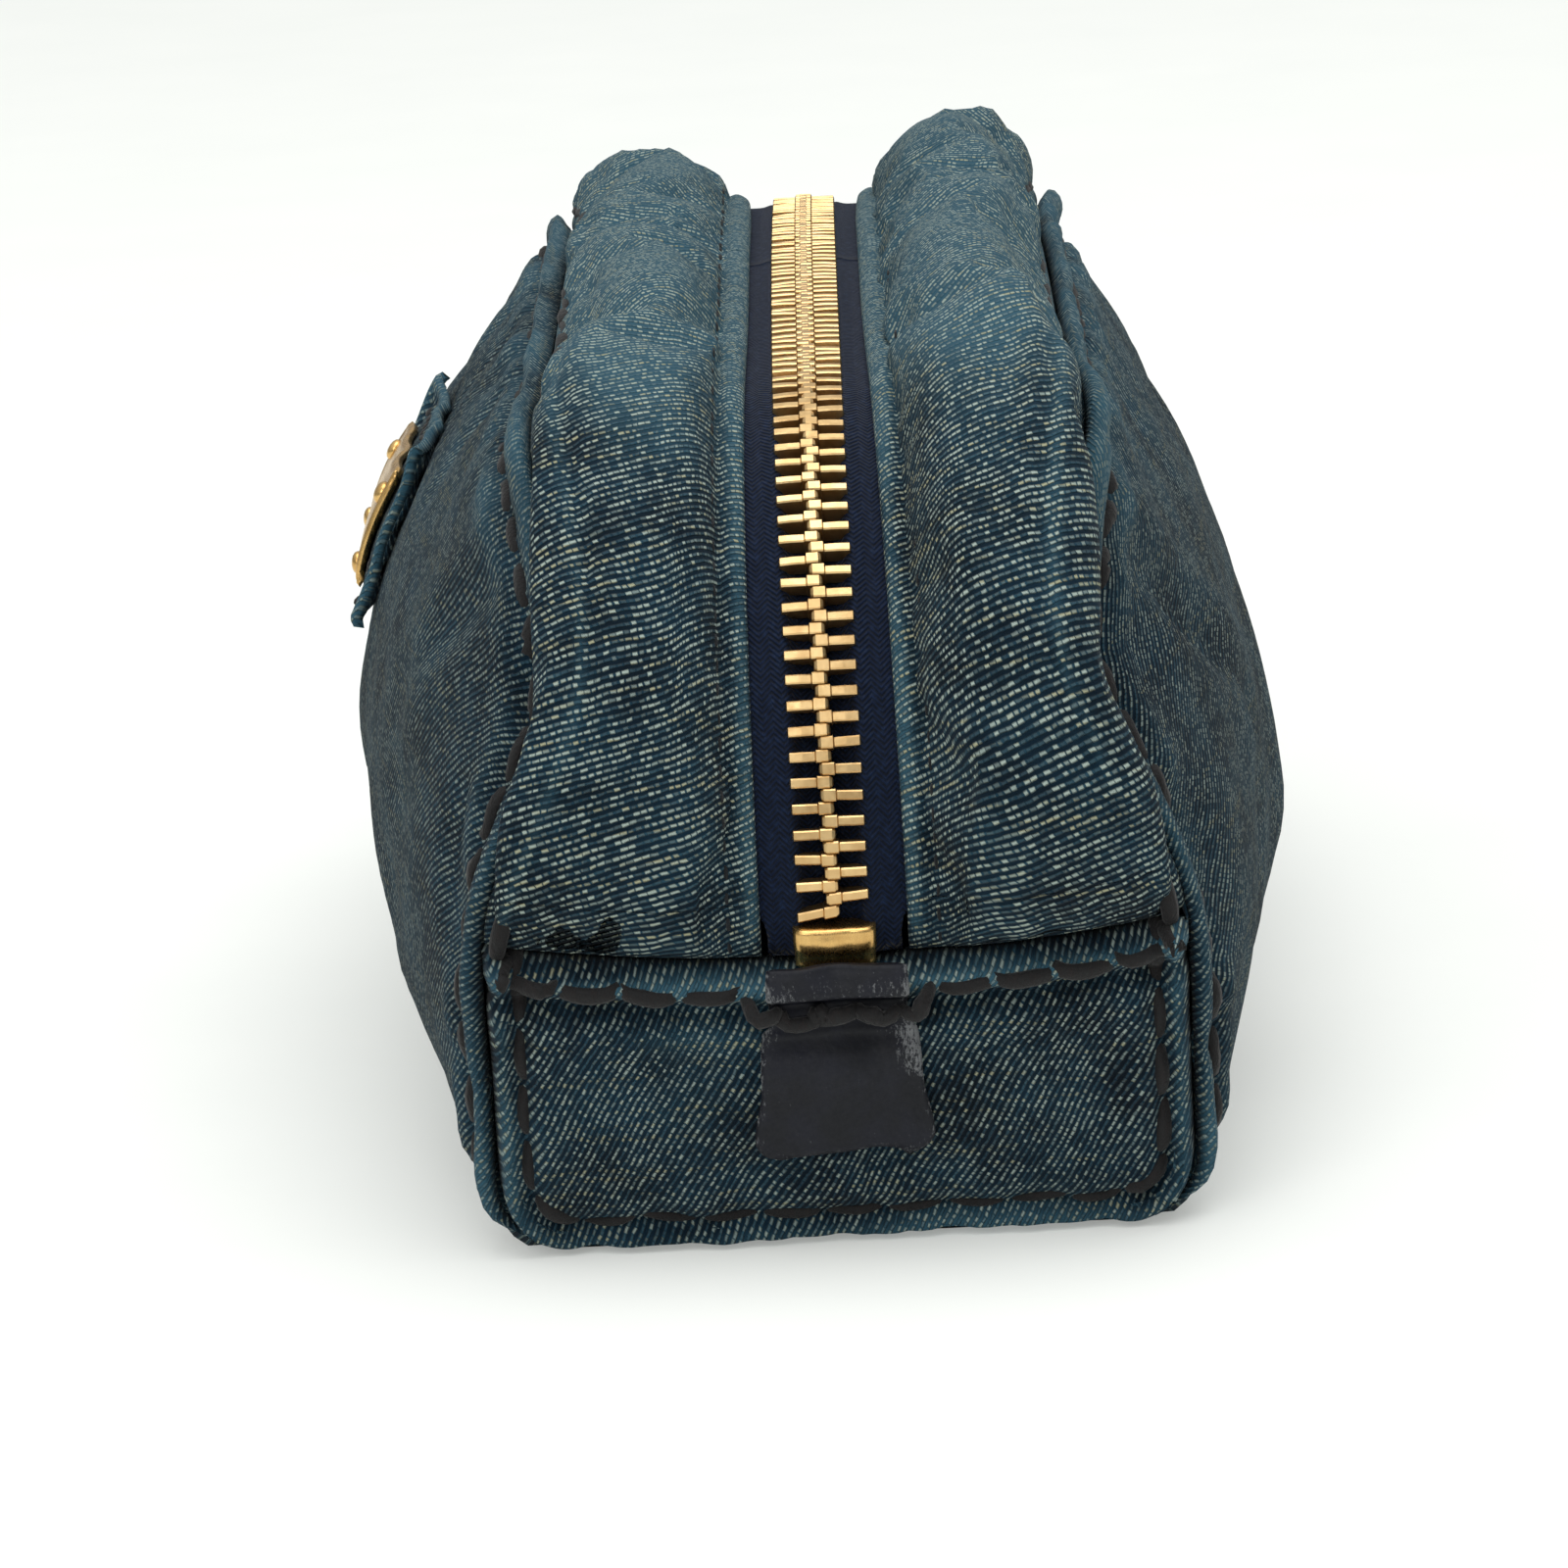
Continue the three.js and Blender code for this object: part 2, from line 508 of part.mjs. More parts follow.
// Pull: a flat ring through the bridge and a leather tongue folded round the ring's lower bar
function frame(halfWidth, top, bottom, wall) {
  const shape = outlineOf([
    [-halfWidth + 1, bottom], [halfWidth - 1, bottom], [halfWidth, bottom + 1], [halfWidth, top - 1],
    [halfWidth - 1, top], [1 - halfWidth, top], [-halfWidth, top - 1], [-halfWidth, bottom + 1],
  ]);
  const inner = halfWidth - wall;
  shape.holes.push(new THREE.Path([
    new THREE.Vector2(-inner, bottom + wall), new THREE.Vector2(-inner, top - wall),
    new THREE.Vector2(inner, top - wall), new THREE.Vector2(inner, bottom + wall),
  ]));
  return shape;
}

const pivot = new THREE.Group();
pivot.position.set(-ZIP_REACH - PIVOT_HEIGHT, 0, CORNER_HEIGHT);
pouch.add(pivot);

const ringShape = frame(RING_HALF, RING_WIRE / 2, RING_WIRE / 2 - RING_LENGTH, RING_WIRE);
const ring = add('pull_ring', new THREE.ExtrudeGeometry(ringShape, { depth: RING_WIRE, bevelEnabled: false }), brass);
ring.geometry.translate(0, 0, -RING_WIRE / 2);
ring.rotation.set(90 * DEGREE, 90 * DEGREE, 0);
pivot.add(ring);

const barDrop = RING_LENGTH - RING_WIRE;
const tongueShape = new THREE.Shape();
tongueShape.moveTo(-PULL_THICKNESS / 2, -barDrop - PULL_LENGTH);
tongueShape.lineTo(PULL_THICKNESS / 2, -barDrop - PULL_LENGTH);
tongueShape.lineTo(PULL_THICKNESS / 2, -barDrop - 1.6);
tongueShape.absarc(0, -barDrop, 1.75, -60 * DEGREE, 240 * DEGREE, false);
tongueShape.lineTo(-PULL_THICKNESS / 2, -barDrop - 1.6);
tongueShape.holes.push(new THREE.Path().absarc(0, -barDrop, 1.05, 0, 2 * Math.PI, true));
const tongueSolid = new THREE.ExtrudeGeometry(tongueShape, {
  depth: PULL_WIDTH, bevelEnabled: false, curveSegments: 10,
});
const tongue = add('pull_tab', tongueSolid, leather);
tongue.geometry.translate(0, 0, -PULL_WIDTH / 2);
tongue.rotation.set(90 * DEGREE, 0, 0);
pivot.add(tongue);

// Denim patch with a plain metal plate riveted to it, on the front
function rowAtHeight(height) {
  let [low, high] = [V_SIDE, 1];
  for (let i = 0; i < 40; i += 1) {
    const middle = (low + high) / 2;
    if (panelPoint(0.5, middle, -1, FRONT_BELLY).z < height) low = middle;
    else high = middle;
  }
  return low;
}

function columnAt(x) {
  return 0.5 + x / (2 * panelEdge(rowAtHeight(PATCH_LOW)).x);
}

function onFront(half, low, high, columns, rows, from, to) {
  const span = [columnAt(-half), columnAt(half)];
  return panelLayer(-1, FRONT_BELLY, columns, rows, span, [rowAtHeight(low), rowAtHeight(high)], from, to);
}

add('front_patch', onFront(PATCH_HALF, PATCH_LOW, PATCH_HIGH, 10, 5, GAP, 1.2), denim);
add('badge_plate', onFront(PLATE_HALF, PLATE_LOW, PLATE_HIGH, 8, 3, 1.2 + GAP, 2.3), brass);
for (const [number, x, z] of [[1, -1, 0], [2, 1, 0], [3, -1, 1], [4, 1, 1]]) {
  const dome = new THREE.LatheGeometry([[0, 0], [1, 0], [0.8, 0.45], [0, 0.7]].map(([r, h]) => new THREE.Vector2(r, h)), 8);
  const rivet = add(`badge_rivet_${number}`, dome, brass);
  const u = columnAt(x * (PLATE_HALF - 2));
  const v = rowAtHeight(THREE.MathUtils.lerp(PLATE_LOW + 2, PLATE_HIGH - 2, z));
  const normal = panelNormal(u, v, -1, FRONT_BELLY);
  rivet.position.copy(panelPoint(u, v, -1, FRONT_BELLY)).addScaledVector(normal, 2.3 + GAP);
  rivet.quaternion.setFromUnitVectors(new THREE.Vector3(0, 1, 0), normal);
}

export default pouch;
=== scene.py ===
"""The looks of a zipped denim brush pouch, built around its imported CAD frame.

Sizes are in millimetres until a mesh is made, and +X is the near end, -Y the front. Cloth pieces are grids of
points: a base shape that repeats the CAD's, swollen by a cloth simulation, with seams, ridges and puckers pushed
into it.
"""

import math

import bpy
import numpy as np
from mathutils import Matrix, Vector
from mathutils.bvhtree import BVHTree
from mathutils.kdtree import KDTree


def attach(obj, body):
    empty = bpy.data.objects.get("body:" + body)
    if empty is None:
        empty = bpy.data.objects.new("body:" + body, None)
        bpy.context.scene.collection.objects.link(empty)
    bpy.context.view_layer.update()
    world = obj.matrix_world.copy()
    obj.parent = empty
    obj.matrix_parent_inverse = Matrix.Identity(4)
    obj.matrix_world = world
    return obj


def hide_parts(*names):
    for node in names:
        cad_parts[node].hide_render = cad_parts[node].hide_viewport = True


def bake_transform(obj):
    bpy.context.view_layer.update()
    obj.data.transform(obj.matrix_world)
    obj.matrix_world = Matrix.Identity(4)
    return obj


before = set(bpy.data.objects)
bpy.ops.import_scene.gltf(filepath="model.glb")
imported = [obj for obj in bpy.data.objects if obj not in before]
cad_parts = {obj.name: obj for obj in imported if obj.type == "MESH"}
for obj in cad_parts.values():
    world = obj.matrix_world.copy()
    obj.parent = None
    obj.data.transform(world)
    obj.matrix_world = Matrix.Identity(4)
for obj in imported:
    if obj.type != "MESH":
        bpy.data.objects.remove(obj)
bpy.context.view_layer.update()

DEG = math.pi / 180
MM = 0.001

# ---------------------------------------------------------------- the CAD's driving sizes
ZIP_REACH = 92.0
CORNER_RADIUS = 39.4
CORNER_HEIGHT = 35.1
TOP_SLOPE = 5.3 * DEG
END_LEAN = 10.3 * DEG
CORNER_X = ZIP_REACH - CORNER_RADIUS
ARCH_RADIUS = CORNER_X / math.sin(TOP_SLOPE) + CORNER_RADIUS
ARCH = ARCH_RADIUS * TOP_SLOPE
CORNER = CORNER_RADIUS * (math.pi / 2 + END_LEAN - TOP_SLOPE)
CREST = CORNER_HEIGHT + CORNER_RADIUS * math.cos(TOP_SLOPE) + ARCH_RADIUS * (1 - math.cos(TOP_SLOPE))
STRAIGHT = ARCH + CORNER
STRAIGHT_HEIGHT = CORNER_HEIGHT - CORNER_RADIUS * math.sin(END_LEAN)
GROUND = STRAIGHT + STRAIGHT_HEIGHT / math.cos(END_LEAN)
SEAM_TOP = 24.3
SEAM_BASE = 31.9
SHOULDER, SHOULDER_PLACE, SHOULDER_SPREAD = 1.2, ARCH + 8, 14.0
WAIST, WAIST_PLACE, WAIST_SPREAD = 1.5, ARCH + 38, 16.0
BOTTOM_CORNER = 6.6
EDGE_INSET = 1.0
FRONT_BELLY = 12.8
BACK_BELLY = 7.8
FRONT_SKEW = 1.7
BACK_SKEW = 0.9
FULLNESS = 0.6
END_SEAM = GROUND - 27.7
FRONT_ROLL = 5.0
BACK_ROLL = 8.0
PITCH = 2.3
STOP_PLACE = STRAIGHT - 1.2
V_CORNER = 0.24
V_SIDE = 0.36
PANEL_TOP_CORNER = ARCH + CORNER_RADIUS * (45 * DEG - TOP_SLOPE)
PATCH_HALF, PATCH_LOW, PATCH_HIGH = 20.0, 46.0, 63.0
PLATE_HALF, PLATE_LOW, PLATE_HIGH = 14.0, 49.0, 60.0

# ---------------------------------------------------------------- sizes of the soft details
CLOTH = 1.6  # denim with its backing
SEAM_SAG = 2.7  # the seam over each end panel hangs this much lower in its middle
ROW_A = 3.6  # heavy topstitching on the panels, this far from the seam
ROW_B = 2.9  # and on the other side of it
ROW_C = 4.2  # and below the seam over the end panels
STITCH = 5.8  # length of a heavy stitch with its gap
HEAVY = 0.8  # the heavy thread's radius
FINE_STITCH = 2.5
FINE = 0.2
HEM = 2.5  # fine topstitching, this far from the strips' folded edges
OVERHANG = 5.4  # how far the padded rolls hang over the seam round the corners


# ---------------------------------------------------------------- numbers
def smoothstep(x, low, high):
    t = np.clip((x - low) / (high - low), 0, 1)
    return t * t * (3 - 2 * t)


def bump(x, centre, width):
    return np.exp(-(((x - centre) / width) ** 2))


def ripple(points, wavelength, seed, waves=9):
    """Smooth noise over points, about -1 to 1: a sum of sine waves in fixed random directions."""
    r = np.random.default_rng(seed)
    total = np.zeros(points.shape[:-1])
    for _ in range(waves):
        direction = r.normal(size=3)
        direction /= np.linalg.norm(direction)
        length = wavelength * r.uniform(0.6, 1.7)
        total += np.sin(points @ direction * (2 * math.pi / length) + r.uniform(0, 2 * math.pi))
    return total / math.sqrt(waves)


def unit(v):
    return v / np.maximum(np.linalg.norm(v, axis=-1, keepdims=True), 1e-9)


def xyz(x, y, z):
    return np.stack(np.broadcast_arrays(x, y, z), axis=-1).astype(float)


def over_zip(s, y, out):
    """Points over the zip line: s along it from the crest, positive to the near end, y across, out away from it."""
    s, y, out = np.broadcast_arrays(np.asarray(s, float), y, out)
    sign = np.where(s < 0, -1.0, 1.0)
    d = np.abs(s)
    on_arch = d <= ARCH
    tilt = np.where(on_arch, 0, TOP_SLOPE + np.clip(d - ARCH, 0, CORNER) / CORNER_RADIUS)
    down = np.maximum(0, d - STRAIGHT)
    x = np.where(
        on_arch,
        ARCH_RADIUS * np.sin(d / ARCH_RADIUS),
        CORNER_X + CORNER_RADIUS * np.sin(tilt) + down * np.cos(tilt),
    )
    z = np.where(
        on_arch,
        CREST - ARCH_RADIUS * (1 - np.cos(d / ARCH_RADIUS)),
        CORNER_HEIGHT + CORNER_RADIUS * np.cos(tilt) - down * np.sin(tilt),
    )
    return xyz(sign * (x + out * np.sin(tilt)), y, z + out * np.cos(tilt))


def outward(s):
    """The direction out from the zip line."""
    return unit(over_zip(s, 0, 1) - over_zip(s, 0, 0))


def seam_half(s):
    d = np.abs(s)
    flare = (SEAM_BASE - SEAM_TOP) * smoothstep(d, WAIST_PLACE, END_SEAM)
    shoulder = SHOULDER * bump(d, SHOULDER_PLACE, SHOULDER_SPREAD)
    return SEAM_TOP + flare + shoulder - WAIST * bump(d, WAIST_PLACE, WAIST_SPREAD)


def end_seam(y):
    """Distance along the zip of the seam over an end panel: it sags in the middle."""
    return END_SEAM - SEAM_SAG * (np.abs(y) / SEAM_BASE) ** 2


def end_x(z, out):
    foot = CORNER_X + CORNER_RADIUS * math.cos(END_LEAN) - STRAIGHT_HEIGHT * math.tan(END_LEAN)
    return foot + z * math.tan(END_LEAN) + out / math.cos(END_LEAN)


def opening(s):
    """Half width of the tape that shows: wider towards the ends."""
    return 5.8 + 1.2 * smoothstep(np.abs(s), ARCH * 0.4, END_SEAM)


# ---------------------------------------------------------------- grids and meshes
def spaced(stretches):
    """Rising positions from (length, step) stretches, starting at 0."""
    marks = [0.0]
    for length, step in stretches:
        n = max(1, round(length / step))
        marks += [marks[-1] + length * (i + 1) / n for i in range(n)]
    return np.array(marks)


def sample(field, rows, cols):
    """A coarse grid of values read at fractions of its rows and columns, with a smooth cubic."""

    def along(values, places):
        at = np.clip(places, 0, 1) * (len(values) - 1)
        base = np.floor(at).astype(int)
        t = (at - base)[(...,) + (None,) * (values.ndim - 1)]
        k = [values[np.clip(base + i, 0, len(values) - 1)] for i in (-1, 0, 1, 2)]
        return 0.5 * (
            2 * k[1]
            + (k[2] - k[0]) * t
            + (2 * k[0] - 5 * k[1] + 4 * k[2] - k[3]) * t**2
            + (3 * k[1] - k[0] - 3 * k[2] + k[3]) * t**3
        )

    down = along(field, rows)
    return np.swapaxes(along(np.swapaxes(down, 0, 1), cols), 0, 1)


def grid_normals(grid, towards):
    """Unit normals of a grid, on the side that towards (a direction for each point, or one for all) lies."""
    normal = unit(np.cross(np.gradient(grid, axis=0), np.gradient(grid, axis=1)))
    facing = (normal * towards).sum(-1).mean()
    return normal if facing > 0 else -normal


def quads(rows, cols, wrap=False):
    """Faces of a grid; wrap joins its last column to its first."""
    i, j = np.meshgrid(np.arange(rows - 1), np.arange(cols if wrap else cols - 1), indexing="ij")
    j2 = (j + 1) % cols
    return np.stack([i * cols + j, i * cols + j2, (i + 1) * cols + j2, (i + 1) * cols + j], -1).reshape(-1, 4)


def outward_faces(points, faces):
    """The faces turned so that a closed mesh's volume is positive."""
    volume = 0.0
    for face in faces:
        a = points[face[0]]
        for i in range(1, len(face) - 1):
            volume += float(np.dot(a, np.cross(points[face[i]], points[face[i + 1]])))
    return faces if volume > 0 else [list(f)[::-1] for f in faces]


def make(name, points, faces, uv=None, fields=None, smooth=True):
    """A mesh object in metres from points in millimetres. uv is a place in the cloth in millimetres, per point."""
    points = np.asarray(points, float)
    faces = outward_faces(points, [list(map(int, f)) for f in faces])
    mesh = bpy.data.meshes.new(name)
    mesh.from_pydata((points * MM).tolist(), [], faces)
    if uv is not None:
        corners = np.zeros(len(mesh.loops), int)
        mesh.loops.foreach_get("vertex_index", corners)
        layer = mesh.uv_layers.new(name="cloth")
        layer.data.foreach_set("uv", np.asarray(uv, float)[corners].astype(np.float32).ravel())
    for key, values in (fields or {}).items():
        data = mesh.attributes.new(key, "FLOAT", "POINT").data
        data.foreach_set("value", np.asarray(values, np.float32).ravel())
    if smooth:
        mesh.shade_smooth()
    piece = bpy.data.objects.new(name, mesh)
    bpy.context.scene.collection.objects.link(piece)
    return piece


def shell(name, outer, normals, thick, uv, wear_and_light):
    """A closed sheet of cloth: a grid of points, and the same grid set in along its normals, above the floor."""
    rows, cols = outer.shape[:2]
    inner = outer - normals * thick
    inner[..., 2] = np.maximum(inner[..., 2], np.minimum(outer[..., 2], 0.05) + 0.01)
    points = np.concatenate([outer.reshape(-1, 3), inner.reshape(-1, 3)])
    n = rows * cols
    front = quads(rows, cols)
    back = front[:, ::-1] + n
    index = np.arange(n).reshape(rows, cols)
    loop = np.concatenate([index[0, :-1], index[:-1, -1], index[-1, :0:-1], index[:0:-1, 0]])
    after = np.roll(loop, -1)
    rim = np.stack([after, loop, loop + n, after + n], -1)
    both = {"wear_and_light": np.tile(wear_and_light.ravel(), 2)}
    return make(name, points, np.concatenate([front, back, rim]), np.tile(uv.reshape(-1, 2), (2, 1)), both)


def surface_tree(points, faces):
    return BVHTree.FromPolygons([tuple(p) for p in points], [tuple(map(int, f)) for f in faces])


def grid_tree(grid):
    return surface_tree(grid.reshape(-1, 3), quads(*grid.shape[:2]))


def onto(line, tree, towards):
    """A line's points moved to the nearest place on a surface, and the surface's normals there."""
    places, normals = [], []
    for p, side in zip(line, np.broadcast_to(towards, line.shape)):
        place, normal, _, _ = tree.find_nearest(Vector(p))
        places.append(place)
        normals.append(normal if normal.dot(Vector(side)) > 0 else -normal)
    return np.array(places), np.array(normals)


def lengths(line):
    return np.concatenate([[0], np.cumsum(np.linalg.norm(np.diff(line, axis=0), axis=1))])


def nearest(points, line):
    """For each point: its distance to a line, and how far along the line that is, with the line's index."""
    tree = KDTree(len(line))
    for i, p in enumerate(line):
        tree.insert(p, i)
    tree.balance()
    found = [tree.find(p)[1:] for p in points.reshape(-1, 3)]
    index = np.array([f[0] for f in found]).reshape(points.shape[:-1])
    far = np.array([f[1] for f in found]).reshape(points.shape[:-1])
    return far, lengths(line)[index], index


# ---------------------------------------------------------------- cloth simulation
SIM_SCALE = 0.01  # simulated ten times life size, where the cloth settings behave


def settle(grid, pressure, slack, cap, pin_width=1, frames=20):
    """How far a grid of cloth moves when it swells: its rim is sewn down, and slack is its spare length."""
    rows, cols = grid.shape[:2]
    mesh = bpy.data.meshes.new("settling")
    mesh.from_pydata((grid.reshape(-1, 3) * SIM_SCALE).tolist(), [], quads(rows, cols).tolist())
    piece = bpy.data.objects.new("settling", mesh)
    bpy.context.scene.collection.objects.link(piece)
    rim = np.zeros((rows, cols), bool)
    rim[:pin_width], rim[-pin_width:], rim[:, :pin_width], rim[:, -pin_width:] = True, True, True, True
    group = piece.vertex_groups.new(name="sewn")
    group.add(np.flatnonzero(rim.ravel()).tolist(), 1.0, "REPLACE")
    cloth = piece.modifiers.new("cloth", "CLOTH")
    s = cloth.settings
    s.quality, s.mass, s.air_damping = 8, 0.35, 2.0
    s.tension_stiffness = s.compression_stiffness = 18
    s.shear_stiffness, s.bending_stiffness = 6, 1.2
    s.vertex_group_mass = "sewn"
    s.use_pressure, s.uniform_pressure_force = True, pressure
    s.shrink_min = -slack
    s.effector_weights.gravity = 0
    cloth.collision_settings.use_collision = False
    cloth.point_cache.frame_start, cloth.point_cache.frame_end = 1, frames
    for number in range(1, frames + 1):
        bpy.context.scene.frame_set(number)
    shown = piece.evaluated_get(bpy.context.evaluated_depsgraph_get()).data
    moved = np.zeros(rows * cols * 3)
    shown.vertices.foreach_get("co", moved)
    bpy.data.objects.remove(piece)
    bpy.data.meshes.remove(mesh)
    bpy.context.scene.frame_set(1)
    move = moved.reshape(rows, cols, 3) / SIM_SCALE - grid
    size = np.linalg.norm(move, axis=-1, keepdims=True)
    return move * np.minimum(1, cap / np.maximum(size, 1e-9))


# ---------------------------------------------------------------- materials
class Nodes:
    """A small helper that adds nodes to a material and links them."""

    def __init__(self, name):
        self.material = bpy.data.materials.new(name)
        self.material.use_nodes = True
        self.tree = self.material.node_tree
        self.tree.nodes.clear()
        self.shader = self.tree.nodes.new("ShaderNodeBsdfPrincipled")
        output = self.tree.nodes.new("ShaderNodeOutputMaterial")
        self.tree.links.new(self.shader.outputs[0], output.inputs[0])

    def set(self, socket, value):
        if isinstance(value, bpy.types.NodeSocket):
            self.tree.links.new(value, socket)
        elif isinstance(value, tuple) and len(value) == 3 and socket.type == "RGBA":
            socket.default_value = (*value, 1)
        else:
            socket.default_value = value

    def add(self, kind, inputs=None, out=0, **settings):
        node = self.tree.nodes.new(kind)
        for key, value in settings.items():
            setattr(node, key, value)
        for key, value in (inputs or {}).items():
            self.set(node.inputs[key], value)
        return node.outputs[out]

    def math(self, operation, a, b=0.0, c=None):
        inputs = {0: a, 1: b}
        if c is not None:
            inputs[2] = c
        return self.add("ShaderNodeMath", inputs, operation=operation)

    def noise(self, vector, scale, detail=2.0, roughness=0.5):
        inputs = {"Vector": vector, "Scale": scale, "Detail": detail, "Roughness": roughness}
        return self.add("ShaderNodeTexNoise", inputs)

    def stretch(self, vector, scale, turn=0.0, shift=(0, 0, 0)):
        inputs = {"Vector": vector, "Scale": scale, "Rotation": (0, 0, turn), "Location": shift}
        return self.add("ShaderNodeMapping", inputs, vector_type="POINT")

    def shift(self, vector, noise, size):
        """A place moved by a coloured noise, up to half of size each way."""
        centred = self.add("ShaderNodeVectorMath", {0: noise, 1: (0.5, 0.5, 0.5)}, operation="SUBTRACT")
        scaled = self.add("ShaderNodeVectorMath", {0: centred, 3: size}, operation="SCALE")
        return self.add("ShaderNodeVectorMath", {0: vector, 1: scaled}, operation="ADD")

    def remap(self, value, low, high, to_low=0.0, to_high=1.0):
        inputs = {"Value": value, "From Min": low, "From Max": high, "To Min": to_low, "To Max": to_high}
        return self.add("ShaderNodeMapRange", inputs, interpolation_type="SMOOTHSTEP")

    def mix(self, share, a, b, blend="MIX"):
        node = self.tree.nodes.new("ShaderNodeMix")
        node.data_type, node.blend_type = "RGBA", blend
        self.set(node.inputs[0], share)
        self.set(node.inputs[6], a)
        self.set(node.inputs[7], b)
        return node.outputs[2]

    def bumped(self, height, distance, strength=1.0, normal=None):
        inputs = {"Height": height, "Distance": distance, "Strength": strength}
        if normal is not None:
            inputs["Normal"] = normal
        return self.add("ShaderNodeBump", inputs)

    def field(self, name):
        return self.add("ShaderNodeAttribute", attribute_name=name, out=2)

    def cloth_place(self):
        return self.add("ShaderNodeUVMap", uv_map="cloth")

    def in_mm(self):
        place = self.add("ShaderNodeTexCoord", out=3)
        return self.add("ShaderNodeVectorMath", {0: place, 3: 1000.0}, operation="SCALE")

    def surface(self, **values):
        for key, value in values.items():
            self.set(self.shader.inputs[key.replace("_", " ")], value)
        return self.material


def srgb(r, g, b):
    """A colour given in the 0 to 255 that a screen shows, as the linear values that a shader takes."""
    return tuple(((c / 255 + 0.055) / 1.055) ** 2.4 if c > 10 else c / 255 / 12.92 for c in (r, g, b))


INDIGO_DEEP = srgb(3, 12, 20)
INDIGO = srgb(14, 40, 56)
WASHED = srgb(54, 90, 106)
WEFT = srgb(158, 172, 164)
WARM_SLUB = srgb(158, 158, 130)
TWILL = 0.6  # mm between twill lines
FLECK = 0.5  # and from one pale dash to the next along a line


def denim(name, turn, fleck=1.0, wash_and_light=0.0):
    """Washed twill: pale weft shows as broken dashes along dark diagonal lines. turn is the diagonal's way."""
    n = Nodes(name)
    place = n.cloth_place()
    drift = n.add("ShaderNodeTexNoise", {"Vector": place, "Scale": 0.05, "Detail": 1.0}, out=1)
    jitter = n.add("ShaderNodeTexNoise", {"Vector": place, "Scale": 1.1, "Detail": 2.0}, out=1)
    moved = n.shift(n.shift(place, drift, 3.0), jitter, 0.26)
    turned = n.stretch(moved, (1, 1, 1), turn)
    axes = n.add("ShaderNodeSeparateXYZ", {0: turned}).node
    across = n.math("MULTIPLY", axes.outputs[1], 1 / TWILL)
    row = n.math("FLOOR", across)
    in_row = n.math("ABSOLUTE", n.math("SUBTRACT", n.math("FRACT", across), 0.5))
    shift = n.math("MULTIPLY", n.add("ShaderNodeTexWhiteNoise", {"W": row}, noise_dimensions="1D"), 3.0)
    along = n.math("MULTIPLY_ADD", axes.outputs[0], 1 / FLECK, shift)
    cell = n.add("ShaderNodeCombineXYZ", {0: n.math("FLOOR", along), 1: row, 2: 3.0})
    chance = n.add("ShaderNodeTexWhiteNoise", {"Vector": cell}, noise_dimensions="3D")
    other = n.add("ShaderNodeCombineXYZ", {0: n.math("FLOOR", along), 1: row, 2: 8.0})
    size = n.add("ShaderNodeTexWhiteNoise", {"Vector": other}, noise_dimensions="3D")
    in_cell = n.math("ABSOLUTE", n.math("SUBTRACT", n.math("FRACT", along), 0.5))
    reach = n.math("MULTIPLY_ADD", size, 0.22, 0.26)
    dash = n.remap(n.math("SUBTRACT", in_cell, reach), 0.1, -0.08)
    line = n.remap(in_row, 0.34, 0.1)
    spot = n.math("MULTIPLY", dash, line)

    patchy = n.noise(n.stretch(place, (0.11, 0.11, 1)), 1.0, 4.0, 0.65)
    slub = n.noise(n.stretch(place, (0.06, 1.5, 1)), 1.0, 2.0)
    ladder = n.noise(n.stretch(place, (1.6, 0.06, 1)), 1.0, 2.0)
    # The per-point field read here pales the denim where it is rubbed, and also where it holds painted light: a
    # painted highlight on the upward faces, standing in for the overhead lamp.
    worn_and_lit = n.math("ADD", n.field("wear_and_light"), wash_and_light)
    fade_and_light = n.math("ADD", n.remap(patchy, 0.34, 0.68, 0.0, 0.6), n.math("MULTIPLY", worn_and_lit, 0.5))
    between = n.mix(fade_and_light, INDIGO_DEEP, INDIGO)
    raised = n.mix(fade_and_light, INDIGO, WASHED)
    ground = n.mix(n.math("MULTIPLY", line, 0.75), between, raised)
    ground = n.mix(n.math("MULTIPLY", n.remap(worn_and_lit, 0.3, 1.1), 0.8), ground, WASHED)
    streak = n.math("ADD", n.remap(slub, 0.57, 0.72), n.remap(ladder, 0.6, 0.76))
    pale = n.mix(n.remap(slub, 0.5, 0.66), WEFT, WARM_SLUB)
    often = n.math("ADD", n.math("MULTIPLY", fade_and_light, 0.3), n.math("MULTIPLY", streak, 0.3))
    strength = n.remap(n.math("ADD", chance, often), 0.25, 1.15, 0.04, 1.0)
    share = n.math("MULTIPLY", n.math("MULTIPLY", spot, strength), 1.05 * fleck)
    colour = n.mix(n.math("MINIMUM", share, 0.95), ground, pale)
    yarn = n.noise(n.stretch(place, (2.6, 2.6, 1)), 1.0, 3.0, 0.65)
    height = n.math("ADD", n.math("MULTIPLY", line, 0.7), n.math("MULTIPLY", spot, 0.4))
    height = n.math("ADD", height, n.math("MULTIPLY", yarn, 0.5))
    return n.surface(
        Base_Color=colour,
        Roughness=n.remap(yarn, 0.3, 0.8, 0.97, 0.86),
        Normal=n.bumped(height, 0.00022, 1.0),
        Sheen_Weight=0.03,
        Sheen_Roughness=0.5,
        Specular_IOR_Level=0.12,
    )


